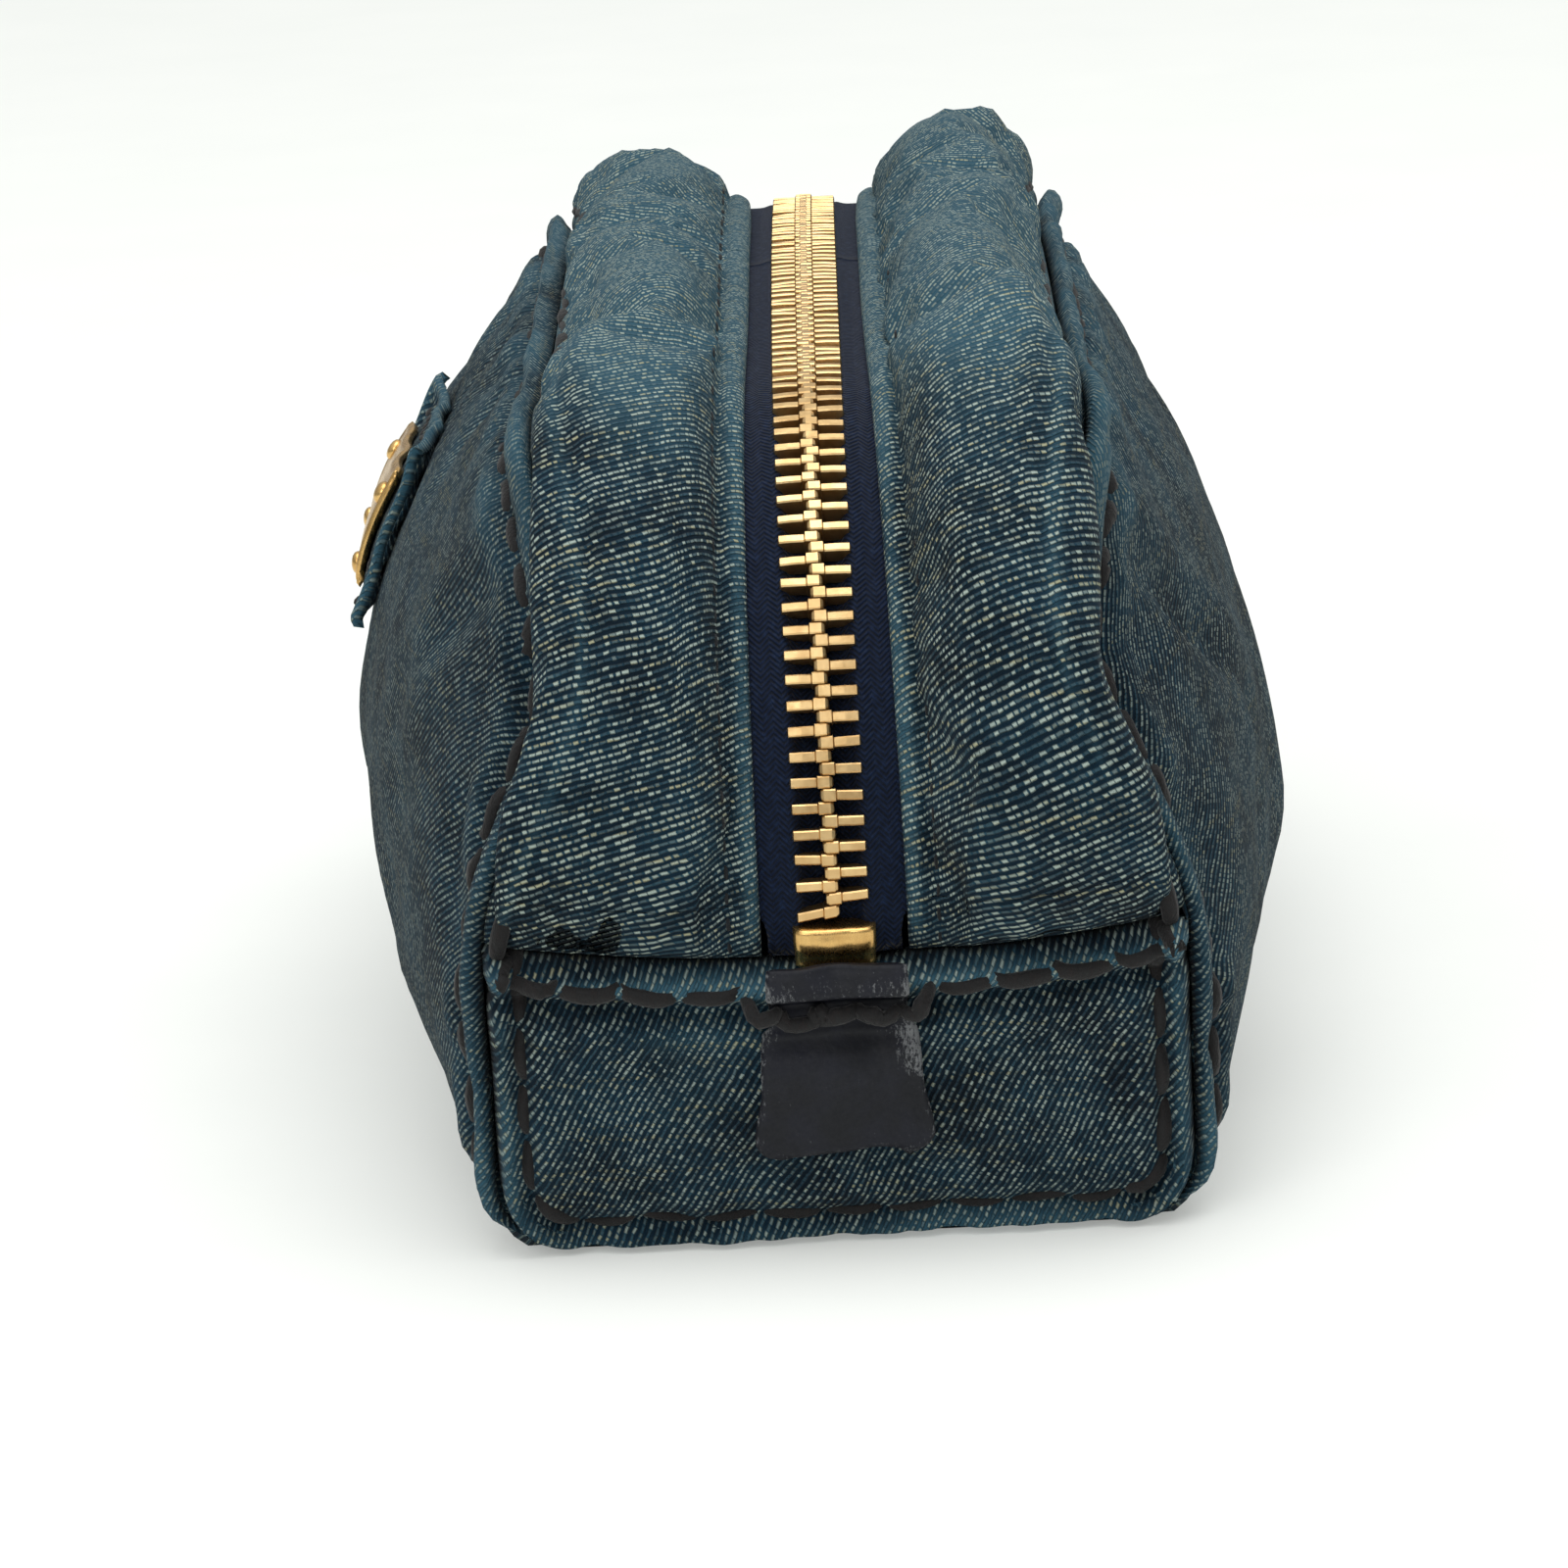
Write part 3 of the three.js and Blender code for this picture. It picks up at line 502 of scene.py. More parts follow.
def tape_material():
    """Woven herringbone tape."""
    n = Nodes("zip tape weave")
    place = n.cloth_place()
    axes = n.add("ShaderNodeSeparateXYZ", {0: place}).node
    band = n.math("PINGPONG", axes.outputs[1], 0.9)
    slant = n.math("ADD", axes.outputs[0], band)
    rib = n.math("MULTIPLY_ADD", n.math("SINE", n.math("MULTIPLY", slant, 2 * math.pi / 0.55)), 0.5, 0.5)
    grain = n.noise(n.stretch(place, (1.4, 1.4, 1)), 1.0, 3.0, 0.6)
    colour = n.mix(rib, srgb(2, 9, 22), srgb(6, 22, 48))
    colour = n.mix(n.remap(grain, 0.45, 0.75, 0, 0.35), colour, srgb(14, 42, 80))
    height = n.math("ADD", rib, n.math("MULTIPLY", grain, 0.4))
    return n.surface(
        Base_Color=colour,
        Roughness=n.remap(grain, 0.3, 0.8, 0.85, 0.7),
        Normal=n.bumped(height, 0.00012, 0.8),
        Sheen_Weight=0.06,
        Sheen_Roughness=0.4,
        Specular_IOR_Level=0.2,
    )


def lining_material():
    """Plain-woven cotton."""
    n = Nodes("cotton lining")
    place = n.cloth_place()
    axes = n.add("ShaderNodeSeparateXYZ", {0: place}).node
    warp = n.math("SINE", n.math("MULTIPLY", axes.outputs[0], 2 * math.pi / 0.45))
    weft = n.math("SINE", n.math("MULTIPLY", axes.outputs[1], 2 * math.pi / 0.45))
    weave = n.math("MULTIPLY_ADD", n.math("MULTIPLY", warp, weft), 0.5, 0.5)
    grain = n.noise(n.stretch(place, (0.2, 0.9, 1)), 1.0, 3.0, 0.6)
    colour = n.mix(weave, srgb(22, 28, 44), srgb(38, 46, 66))
    colour = n.mix(n.remap(grain, 0.4, 0.75, 0, 0.4), colour, srgb(54, 62, 84))
    return n.surface(
        Base_Color=colour,
        Roughness=n.remap(grain, 0.3, 0.8, 0.92, 0.8),
        Normal=n.bumped(n.math("ADD", weave, grain), 0.0001, 0.7),
        Sheen_Weight=0.15,
        Specular_IOR_Level=0.2,
    )


def leather_material():
    """Smooth navy leather with rubbed edges. A per-point field, read by name, says where it is rubbed."""
    n = Nodes("navy leather")
    place = n.in_mm()
    grain = n.add("ShaderNodeTexVoronoi", {"Vector": place, "Scale": 1.9}, feature="SMOOTH_F1")
    fine = n.noise(place, 2.2, 4.0, 0.7)
    cloudy = n.noise(place, 0.25, 3.0, 0.6)
    scratch = n.noise(n.stretch(place, (3.2, 3.2, 1.4), 0.0), 1.0, 5.0, 0.8)
    rub = n.math("ADD", n.math("MULTIPLY", n.field("wear_and_light"), 0.26), n.math("MULTIPLY", cloudy, 0.14))
    scuff = n.remap(n.math("ADD", scratch, rub), 0.72, 0.86)
    colour = n.mix(n.remap(cloudy, 0.35, 0.7), srgb(6, 8, 17), srgb(14, 16, 28))
    colour = n.mix(n.math("MULTIPLY", scuff, 0.7), colour, srgb(126, 128, 130))
    height = n.math("ADD", n.math("MULTIPLY", grain, 0.5), n.math("MULTIPLY", fine, 0.6))
    return n.surface(
        Base_Color=colour,
        Roughness=n.math("ADD", n.remap(fine, 0.3, 0.7, 0.52, 0.66), n.math("MULTIPLY", scuff, 0.3)),
        Normal=n.bumped(height, 0.00012, 0.55),
        Specular_IOR_Level=0.32,
    )


def brass_material(name, colour, rough):
    n = Nodes(name)
    place = n.in_mm()
    fine = n.noise(place, 3.0, 3.0, 0.6)
    cloudy = n.noise(place, 0.5, 2.0)
    tint = n.mix(n.remap(cloudy, 0.35, 0.7, 0.0, 0.35), colour, srgb(170, 122, 62))
    scratch = n.noise(n.stretch(place, (7, 7, 0.8)), 1.0, 3.0, 0.6)
    return n.surface(
        Base_Color=tint,
        Metallic=1.0,
        Roughness=n.remap(scratch, 0.3, 0.75, rough, rough + 0.14),
        Normal=n.bumped(fine, 0.00004, 0.35),
    )


def thread_material(name, colour, pale, twist):
    """Twisted thread: fine slanting plies with some fuzz."""
    n = Nodes(name)
    place = n.in_mm()
    ply = n.noise(n.stretch(place, (twist, twist, twist * 0.45), 0.6), 1.0, 3.0, 0.7)
    colour = n.mix(n.remap(ply, 0.4, 0.75), colour, pale)
    return n.surface(
        Base_Color=colour,
        Roughness=n.remap(ply, 0.3, 0.8, 0.7, 0.9),
        Normal=n.bumped(ply, 0.00025, 0.9),
        Sheen_Weight=0.1,
        Specular_IOR_Level=0.35,
    )


DENIM_STRIP = denim("washed denim, strips", 20 * DEG, 1.0, 0.12)
DENIM_PANEL = denim("washed denim, panels", -52 * DEG, 0.55, 0.12)
# The ends take less of the even pale wash than the strips and panels, so their denim is darker: painted shade on
# the end faces, which stand away from the overhead lamp.
DENIM_END_SHADED = denim("washed denim, ends", -58 * DEG, 0.7, 0.02)
TAPE = tape_material()
LINING = lining_material()
LEATHER = leather_material()
BRASS = brass_material("brass", srgb(222, 182, 116), 0.24)
BRASS_TEETH = brass_material("brass teeth", srgb(226, 192, 138), 0.3)
HEAVY_THREAD = thread_material("heavy thread", srgb(7, 6, 8), srgb(26, 21, 21), 1.6)
FINE_THREAD = thread_material("fine thread", srgb(5, 8, 12), srgb(18, 24, 30), 3.0)


def dress(piece, material):
    piece.data.materials.clear()
    piece.data.materials.append(material)
    return piece


# ---------------------------------------------------------------- thread
def tube(line, radii, sides, ups):
    """A closed tube of points round a line, flattened a little towards the cloth."""
    tangent = unit(np.gradient(line, axis=0))
    across = unit(np.cross(tangent, ups))
    up = np.cross(across, tangent)
    turn = np.arange(sides) * 2 * math.pi / sides
    ring = np.cos(turn)[None, :, None] * across[:, None] + 0.8 * np.sin(turn)[None, :, None] * up[:, None]
    points = (line[:, None] + radii[:, None, None] * ring).reshape(-1, 3)
    faces = quads(len(line), sides, wrap=True).tolist()
    last = (len(line) - 1) * sides
    faces += [list(range(sides))[::-1], [last + i for i in range(sides)]]
    return points, faces


def stitches(name, line, normals, pitch, radius, lift, seed, material, rings=8, sides=8, skip=0.0):
    """A row of stitches along a line on the cloth, each diving into it at both ends."""
    r = np.random.default_rng(seed)
    along = lengths(line)
    count = max(1, round(along[-1] / pitch))
    pitch = along[-1] / count
    points, faces, base = [], [], 0
    for i in range(count):
        a = (i + skip * r.uniform(0.4, 0.8)) * pitch
        b = (i + 1 - skip * r.uniform(0.4, 0.8)) * pitch
        t = np.linspace(0, 1, rings)
        at = a + (b - a) * t
        place = np.stack([np.interp(at, along, line[:, k]) for k in range(3)], -1)
        up = unit(np.stack([np.interp(at, along, normals[:, k]) for k in range(3)], -1))
        side = unit(np.cross(np.gradient(place, axis=0), up))
        arch = np.sin(math.pi * t) ** 0.45
        sway = r.normal(0, 0.2) * radius * (2 * t - 1) + r.normal(0, 0.18) * radius * np.sin(math.pi * t)
        path = place + up * ((lift + radius) * arch - radius * 1.1)[:, None] + side * sway[:, None]
        thick = radius * (0.72 + 0.28 * np.sin(math.pi * t) ** 0.5) * r.uniform(0.85, 1.15)
        p, f = tube(path, thick, sides, up)
        points.append(p)
        faces += [[base + k for k in q] for q in f]
        base += len(p)
    piece = make(name, np.concatenate(points), faces)
    return dress(piece, material)


# ---------------------------------------------------------------- front and back panels
def panel_edge(v):
    flat = SEAM_BASE - BOTTOM_CORNER
    turn = np.clip((v - V_CORNER) / (V_SIDE - V_CORNER), 0, 1) * math.pi / 2
    z = BOTTOM_CORNER * (1 - np.cos(turn))
    y = flat * np.minimum(1, v / V_CORNER) + BOTTOM_CORNER * np.sin(turn)
    low = GROUND - BOTTOM_CORNER / math.cos(END_LEAN)
    s = low + (PANEL_TOP_CORNER - low) * np.clip((v - V_SIDE) / (1 - V_SIDE), 0, 1)
    side = over_zip(s, seam_half(s), -EDGE_INSET)
    base = xyz(end_x(z, -EDGE_INSET), y, z)
    return np.where((v < V_SIDE)[..., None], base, side)


def top_edge(along):
    s = along * PANEL_TOP_CORNER
    return over_zip(s, seam_half(s), -EDGE_INSET)


def panel_base(along, v, side, belly):
    """The CAD's panel: along from -1 (far) to 1 (near), v from the middle of the base to the top seam."""
    edge = panel_edge(v)
    rise = smoothstep(v, V_SIDE, 1)
    top, corner = top_edge(along), top_edge(np.ones_like(along))
    x = along * edge[..., 0] + rise * (top[..., 0] - along * corner[..., 0])
    y = edge[..., 1] + rise * (top[..., 1] - corner[..., 1])
    z = edge[..., 2] + rise * (top[..., 2] - corner[..., 2])
    up = np.clip((v - V_CORNER) / (1 - V_CORNER), 0, 1)
    skew = FRONT_SKEW if side < 0 else BACK_SKEW
    fullness = np.maximum(0, np.sin(math.pi * up**skew)) ** FULLNESS
    y = y + belly * fullness * (1 - np.abs(along) ** 2.6) ** 0.75
    return xyz(x, side * y, z)


def panel_rim(side):
    """The seam round a panel, from the near end of the base over the top to the far end, and the way out of it."""
    v = np.linspace(0, 1, 500)
    near = panel_edge(v)
    s = GROUND - BOTTOM_CORNER / math.cos(END_LEAN) + np.clip((v - V_SIDE) / (1 - V_SIDE), 0, 1) * (
        PANEL_TOP_CORNER - GROUND + BOTTOM_CORNER / math.cos(END_LEAN)
    )
    out_near = outward(s)
    along = np.linspace(1, -1, 700)
    top = top_edge(along)
    out_top = outward(along * PANEL_TOP_CORNER)
    flip = np.array([-1, 1, 1])
    line = np.concatenate([near, top[1:-1], near[::-1] * flip])
    out = np.concatenate([out_near, out_top[1:-1], out_near[::-1] * flip])
    line[:, 1] *= side
    return line, out


def panel(name, side, belly, seed):
    length, height = 91.0, 75.0
    ends = spaced([(7, 0.7), (84, 1.9)])
    along = np.concatenate([-1 + ends / length, (1 - ends / length)[::-1][1:]])
    v_top = 1 - spaced([(7, 0.7), (height - 7, 1.7)]) * (1 - V_SIDE) / height
    v = np.concatenate([
        np.linspace(0.003, V_CORNER, 12), np.linspace(V_CORNER, V_SIDE, 9)[1:], v_top[::-1][1:],
    ])
    grid_a, grid_v = np.meshgrid(along, v)
    base = panel_base(grid_a, grid_v, side, belly)
    coarse_a, coarse_v = np.meshgrid(np.linspace(-1, 1, 66), np.linspace(0, 1, 44))
    coarse = panel_base(coarse_a, coarse_v, side, belly - 2.4)
    full = panel_base(coarse_a, coarse_v, side, belly)
    move = settle(coarse, -0.9 * side, 0.02, 7.0)
    move = coarse + move - full
    base = base + sample(move, v, (along + 1) / 2)
    base[..., 2] = np.maximum(base[..., 2], 0.02)
    normals = grid_normals(base, np.array([0, side, 0]))

    rim, rim_out = panel_rim(side)
    d, t, index = nearest(base, rim)
    out = rim_out[index]
    on_base = smoothstep(base[..., 2], 0.3, 3.5)
    pucker = 0.5 + 0.5 * np.cos(2 * math.pi * t / STITCH)
    uneven = ripple(base, 9, seed)
    lift = 1.15 * bump(d, 1.6, 1.25) * (1 + 0.2 * uneven) - (0.55 + 0.35 * pucker) * bump(d, ROW_A, 0.9)
    lift += (0.7 - 0.25 * pucker) * bump(d, ROW_A + 2.6, 1.7) * (1 + 0.25 * uneven)
    lift += (
        0.22 * ripple(base, 16, seed + 1) * smoothstep(d, 1, 9)
        + 0.5 * ripple(base, 48, seed + 2) * smoothstep(d, 3, 20)
    )
    push = 1.0 * bump(d, 0.9, 1.2) * (1 + 0.15 * uneven) - 0.9 * bump(d, 0, 0.45)
    points = base + normals * (lift * (0.25 + 0.75 * on_base))[..., None] + out * push[..., None]
    # Creases that run down from the round corners at the top
    for end in (-1, 1):
        start = over_zip(end * (ARCH + 26), side * 30, 0)
        stop = xyz(end * 42.0, side * 38.0, 34.0)
        t_line = np.clip(((points - start) @ (stop - start)) / ((stop - start) @ (stop - start)), 0, 1)
        far = np.linalg.norm(points - (start + t_line[..., None] * (stop - start)), axis=-1)
        depth = 1.5 * np.sin(math.pi * np.clip(t_line, 0.02, 0.98)) ** 0.7
        points += normals * (
            depth * (0.55 * bump(far, 6.5, 3.2) - bump(far, 0, 2.6)) * smoothstep(d, 2, 8)
        )[..., None]
    points[..., 2] = np.maximum(points[..., 2], 0.03)
    wear_and_light = (
        0.42 * bump(d, 1.5, 0.9) + 0.25 * bump(d, ROW_A + 2.6, 1.6)
        + 0.12 * (1 + ripple(base, 30, seed + 3))
    )
    wear_and_light += 1.1 * bump(np.abs(base[..., 0]), 90, 5) * bump(base[..., 2], 7.5, 3.4) * bump(d, 2.0, 2.4)
    # Paler towards the top of the panel: partly wear, and partly painted light, the upper faces coloured as if lit
    # by the overhead lamp.
    wear_and_light += 0.5 * smoothstep(base[..., 2], 52, 78) * (0.6 + 0.4 * uneven)
    u_mm = np.broadcast_to(grid_a * length, grid_a.shape)
    v_mm = np.broadcast_to(lengths(base[:, base.shape[1] // 2])[:, None], grid_a.shape)
    uv = np.stack([u_mm * (1 if side < 0 else -1), v_mm], -1)
    new_normals = grid_normals(points, np.array([0, side, 0]))
    piece = shell(f"{name}_panel_cloth", points, new_normals, CLOTH, uv, np.clip(wear_and_light, 0, 1.4))
    dress(piece, DENIM_PANEL)
    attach(piece, "root")
    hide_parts(f"{name}_panel")

    tree = grid_tree(points)
    # Row A: where the panel is ROW_A from its seam
    row = rim - rim_out * ROW_A
    row, up = onto(row + np.array([0, side, 0]) * 2.0, tree, np.array([0, side * 1.0, 0.0]) + 0.3 * rim_out)
    keep = row[:, 2] > 0.6
    row_piece = stitches(
        f"{name}_seam_stitches", row[keep], up[keep], STITCH, HEAVY, 0.12, seed, HEAVY_THREAD,
    )
    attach(row_piece, "root")
    return tree


# ---------------------------------------------------------------- end panels
def end_panel(name, sign, seed):
    corner = np.linspace(0, math.pi / 2, 9)
    heights = np.concatenate([
        BOTTOM_CORNER * (1 - np.cos(corner)), BOTTOM_CORNER + spaced([(13.4, 0.9), (8, 0.55)])[1:],
    ])
    fraction = heights / heights[-1]
    across = np.concatenate([
        -1 + spaced([(0.2, 0.022), (0.8, 0.036)]), (1 - spaced([(0.2, 0.022), (0.8, 0.036)]))[::-1][1:],
    ])
    grid_y, grid_f = np.meshgrid(across, fraction)
    flat = SEAM_BASE - BOTTOM_CORNER
    z0 = grid_f * heights[-1]
    half = flat + np.sqrt(np.maximum(0, BOTTOM_CORNER**2 - np.maximum(0, BOTTOM_CORNER - z0) ** 2))
    y = grid_y * half
    seam_z = (GROUND - end_seam(y)) * math.cos(END_LEAN)
    z = z0 * seam_z / heights[-1]
    z = np.where(z0 < BOTTOM_CORNER, z0 + (z - z0) * smoothstep(z0, 0, BOTTOM_CORNER), z)

    coarse = sample(xyz(end_x(z, 0.2), y, z), np.linspace(0, 1, 24), np.linspace(0, 1, 44))
    move = settle(coarse, 1.1, 0.02, 4.0)
    base = xyz(end_x(z, 0.4), y, z)
    base = base + sample(move, np.linspace(0, 1, len(heights)), np.linspace(0, 1, len(across)))
    rim_s = np.linspace(0, 1, 260)
    side_z = BOTTOM_CORNER + (seam_z[0, 0] - BOTTOM_CORNER) * rim_s[::-1]
    turn = np.linspace(0, math.pi / 2, 90)[1:]
    right_y = np.concatenate([
        np.full(260, SEAM_BASE), flat + BOTTOM_CORNER * np.cos(turn), np.linspace(flat, 0, 200)[1:],
    ])
    right_z = np.concatenate([side_z, BOTTOM_CORNER * (1 - np.sin(turn)), np.zeros(199)])
    right = xyz(end_x(right_z, 0), right_y, right_z)
    rim = np.concatenate([right, right[::-1][1:] * np.array([1, -1, 1])])
    top_y = np.linspace(-SEAM_BASE, SEAM_BASE, 300)
    top_line_z = (GROUND - end_seam(top_y)) * math.cos(END_LEAN)
    top_line = xyz(end_x(top_line_z, 0), top_y, top_line_z)
    flat_base = xyz(end_x(z, 0), y, z)
    d, t, _ = nearest(flat_base, rim)
    d_top, t_top, _ = nearest(flat_base, top_line)
    out = np.array([math.cos(END_LEAN), 0, -math.sin(END_LEAN)])
    pucker = 0.5 + 0.5 * np.cos(2 * math.pi * t / STITCH)
    pucker_top = 0.5 + 0.5 * np.cos(2 * math.pi * t_top / STITCH)
    uneven = ripple(base, 8, seed)
    lift = 1.5 * bump(d, 1.25, 1.0) * (1 + 0.25 * uneven) - (0.9 + 0.5 * pucker) * bump(d, ROW_B, 0.9)
    lift += (0.75 - 0.3 * pucker) * bump(d, ROW_B + 2.3, 1.6) - 2.6 * bump(d, 0, 0.55)
    lift += (
        1.7 * bump(d_top, 2.0, 1.4) * (1 + 0.25 * uneven)
        - (1.0 + 0.5 * pucker_top) * bump(d_top, ROW_C, 1.0)
    )
    lift += (0.7 - 0.3 * pucker_top) * bump(d_top, ROW_C + 2.5, 1.9) - 2.4 * bump(d_top, 0, 0.6)
    lift += 0.12 * ripple(base, 11, seed + 1) + 0.25 * ripple(base, 30, seed + 2)
    points = base + out * lift[..., None]
    points[..., 2] = np.maximum(points[..., 2], 0.05)
    wear_and_light = 0.5 * bump(d, 1.3, 0.8) + 0.75 * bump(d_top, 2.0, 1.1) + 0.2 * bump(d_top, ROW_C + 2.4, 1.4)
    wear_and_light += 0.15 * (1 + ripple(base, 22, seed + 3)) + 0.3 * bump(np.abs(y), 14, 10) * bump(d_top, 2.0, 1.4)
    uv = np.stack([y, z / math.cos(END_LEAN)], -1)
    flip = np.array([sign, 1, 1])
    points = points * flip
    facing = out * flip
    if sign < 0:
        uv = uv * np.array([-1, 1])
    piece = shell(f"{name}_end_cloth", points, grid_normals(points, facing), CLOTH, uv, np.clip(wear_and_light, 0, 1.3))
    dress(piece, DENIM_END_SHADED)
    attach(piece, "root")
    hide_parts(f"{name}_end_panel")
    return grid_tree(points)


# ---------------------------------------------------------------- strips beside the zip
def b_spline(controls, per):
    """Closed smooth outline through rings of control points [..., k, 2], with per points for each control."""
    t = np.arange(per) / per
    weights = np.stack([
        (1 - t) ** 3, 3 * t**3 - 6 * t**2 + 4, -3 * t**3 + 3 * t**2 + 3 * t + 1, t**3,
    ], -1) / 6
    shifted = np.stack([np.roll(controls, 1 - i, axis=-2) for i in range(4)], -2)
    outline = np.einsum("pw,...kwc->...kpc", weights, shifted)
    return outline.reshape(*controls.shape[:-2], -1, 2)


def strip_outline(s, roll):
    """Cross-sections [station, point, (y, out)] of a strip: folded edge, hem, padded roll and seam."""
    edge = opening(s)
    seam = seam_half(s)
    thin = 1 - 0.55 * smoothstep(np.abs(s), STRAIGHT - 14, END_SEAM)
    high = roll * thin * (1 - 0.12 * smoothstep(np.abs(s), ARCH, STRAIGHT))
    o = np.ones_like(s)

    def share(low, part):
        return low + (high - low) * part

    width = seam - edge
    hang = (
        OVERHANG * (0.3 + 0.7 * bump(np.abs(s), WAIST_PLACE, 26))
        * (1 - 0.6 * smoothstep(np.abs(s), END_SEAM - 16, END_SEAM))
    )

    def across(part):
        return edge + width * part

    ring = [
        (edge + 3.0, -0.7 * o), (edge + 0.9, -0.65 * o), (edge - 0.35, -0.5 * o), (edge - 0.45, 0.9 * o),
        (edge + 0.5, 1.55 * o), (edge + 1.8, 1.55 * o),
        (edge + 3.0, share(1.5, 0.05)), (edge + 3.7, share(1.5, 0.34)),
        (edge + 4.7, share(1.5, 0.7)), (edge + 6.2, share(1.5, 0.94)), (across(0.42), share(1.5, 1.05)),
        (across(0.54) + 0.2 * hang, share(1.5, 1.09)), (across(0.66) + 0.5 * hang, share(1.5, 1.05)),
        (across(0.77) + 0.8 * hang, share(1.5, 0.93)), (across(0.85) + hang, share(1.5, 0.7)),
        (across(0.895) + 1.05 * hang, share(1.2, 0.4)), (across(0.91) + 0.75 * hang, share(0.9, 0.12)),
        (across(0.925) + 0.1 * hang, 0.75 * o), (seam - 0.6, 0.8 * o),
        (seam - 0.1, -0.2 * o), (seam - 0.1, -1.5 * o),
        (seam - 1.8, -2.0 * o), (seam - 5, -1.6 * o), (across(0.4), -1.2 * o),
    ]
    controls = np.stack([np.stack(np.broadcast_arrays(*p), -1) for p in ring], -2)
    return b_spline(controls, 4)


def strip_points(s_line, roll):
    outline = strip_outline(s_line, roll)
    y, out = outline[..., 0], outline[..., 1]
    late = smoothstep(s_line, END_SEAM - 30, END_SEAM)[:, None]
    s = s_line[:, None] + (end_seam(y) - END_SEAM) * late
    tuck = np.clip((END_SEAM - s_line) / 6.5, 0, 1)[:, None]
    out = -1.6 + (out + 1.6) * np.sqrt(1 - (1 - tuck) ** 2)
    return s, y, out


def strip(name, side, roll, sign, seed):
    """Half of a strip, from an end (sign 1 near, -1 far) to mid-length."""
    s_line = np.concatenate([
        [0.0], spaced([(ARCH, 1.6), (CORNER, 1.25), (END_SEAM - STRAIGHT - 6, 1.0), (6, 0.5)])[1:],
    ])
    s, y, out = strip_points(s_line, roll)
    move = strip_swell(side, roll)
    # The simulated swelling is added out from the zip line and across it, over the padded roll only.
    rise = sample(move, s_line / END_SEAM, np.linspace(0, 1, y.shape[1]))
    spread, lift = rise[..., 0], rise[..., 1]
    along_zip = s * sign
    place = xyz(along_zip, y * side, out)
    hem = y - opening(s)
    from_seam = seam_half(s) - y
    top = smoothstep(out, 0.2, 1.0)
    hem_pucker = 0.5 + 0.5 * np.cos(2 * math.pi * s / FINE_STITCH)
    row_pucker = 0.5 + 0.5 * np.cos(2 * math.pi * s / STITCH)
    uneven = ripple(place, 9, seed)
    push = -(0.42 + 0.16 * hem_pucker) * bump(hem, HEM, 0.62) * top
    push += 0.16 * bump(hem, HEM - 1.5, 0.6) * top * (1 + uneven * 0.5)
    push -= (0.3 + 0.4 * row_pucker) * bump(from_seam, ROW_B - 0.7, 0.8) * top
    body = smoothstep(hem, 3.5, 8) * smoothstep(from_seam, 3.0, 6.5) * top
    push += body * (
        0.28 * ripple(place, 14, seed + 1) + 0.45 * ripple(place * np.array([1, 0.5, 1]), 40, seed + 2)
    )
    near_end = smoothstep(s_line, END_SEAM - 16, END_SEAM)[:, None]
    push += body * near_end * 0.35 * np.sin(2 * math.pi * y / 5.2 + uneven)
    points = over_zip(s, y + spread, out + lift + push)
    points[..., 0] *= sign
    points[..., 1] *= side
    rows, cols = points.shape[:2]
    uv = np.stack([s, np.broadcast_to(lengths(xyz(0 * y[0], y[0], out[0]))[None], y.shape)], -1)
    uv = uv[..., ::-1] * np.array([side, 1])
    wear_and_light = 0.5 * bump(hem, 0.2, 0.9) * top + 0.3 * bump(from_seam, 1.2, 0.8) * top
    # Paler over the crest of the arch and along the top of the roll there: partly wear, and partly painted light
    # where the overhead lamp falls on the top.
    wear_and_light += (
        0.75 * (1 - smoothstep(s_line, ARCH - 8, ARCH + 34))[:, None]
        + 0.14 * (1 + ripple(place, 26, seed + 3))
    )
    wear_and_light += (
        0.4 * body * smoothstep(out, roll * 0.6, roll)
        * (1 - smoothstep(s_line, ARCH, ARCH + 30))[:, None]
    )
    caps = np.concatenate([points[0], points[-1]])
    cap_faces = [list(rows * cols + np.arange(cols)), list((rows * cols + cols + np.arange(cols))[::-1])]
    faces = quads(rows, cols, wrap=True).tolist()
    all_points = np.concatenate([points.reshape(-1, 3), caps])
    all_uv = np.concatenate([uv.reshape(-1, 2), uv[0], uv[-1]])
    all_wear_and_light = np.concatenate([wear_and_light.ravel(), wear_and_light[0], wear_and_light[-1]])
    half = "near" if sign > 0 else "far"
    piece = make(
        f"{name}_strip_{half}_cloth", all_points, faces + cap_faces, all_uv, {"wear_and_light": np.clip(all_wear_and_light, 0, 1.3)},
    )
    dress(piece, DENIM_STRIP)
    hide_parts(f"{name}_strip_{half}", f"{name}_strip_lip")
    turn_with_mouth(piece)

    tree = surface_tree(points.reshape(-1, 3), quads(rows, cols, wrap=True))
    s_row = np.linspace(0.4, END_SEAM - 1.0, 400)
    y_row = opening(s_row) + HEM
    guess = over_zip(s_row, y_row, 3.0) * np.array([sign, side, 1])
    row, up = drop_on(guess, tree, -outward(s_row) * np.array([sign, 1, 1]))
    fine = stitches(
        f"{name}_hem_stitches_{half}", row, up, FINE_STITCH, FINE, 0.02, seed + 5, FINE_THREAD, 5, 5, 0.3,
    )
    turn_with_mouth(fine)
    s_row = np.linspace(1.0, END_SEAM - 2.0, 400)
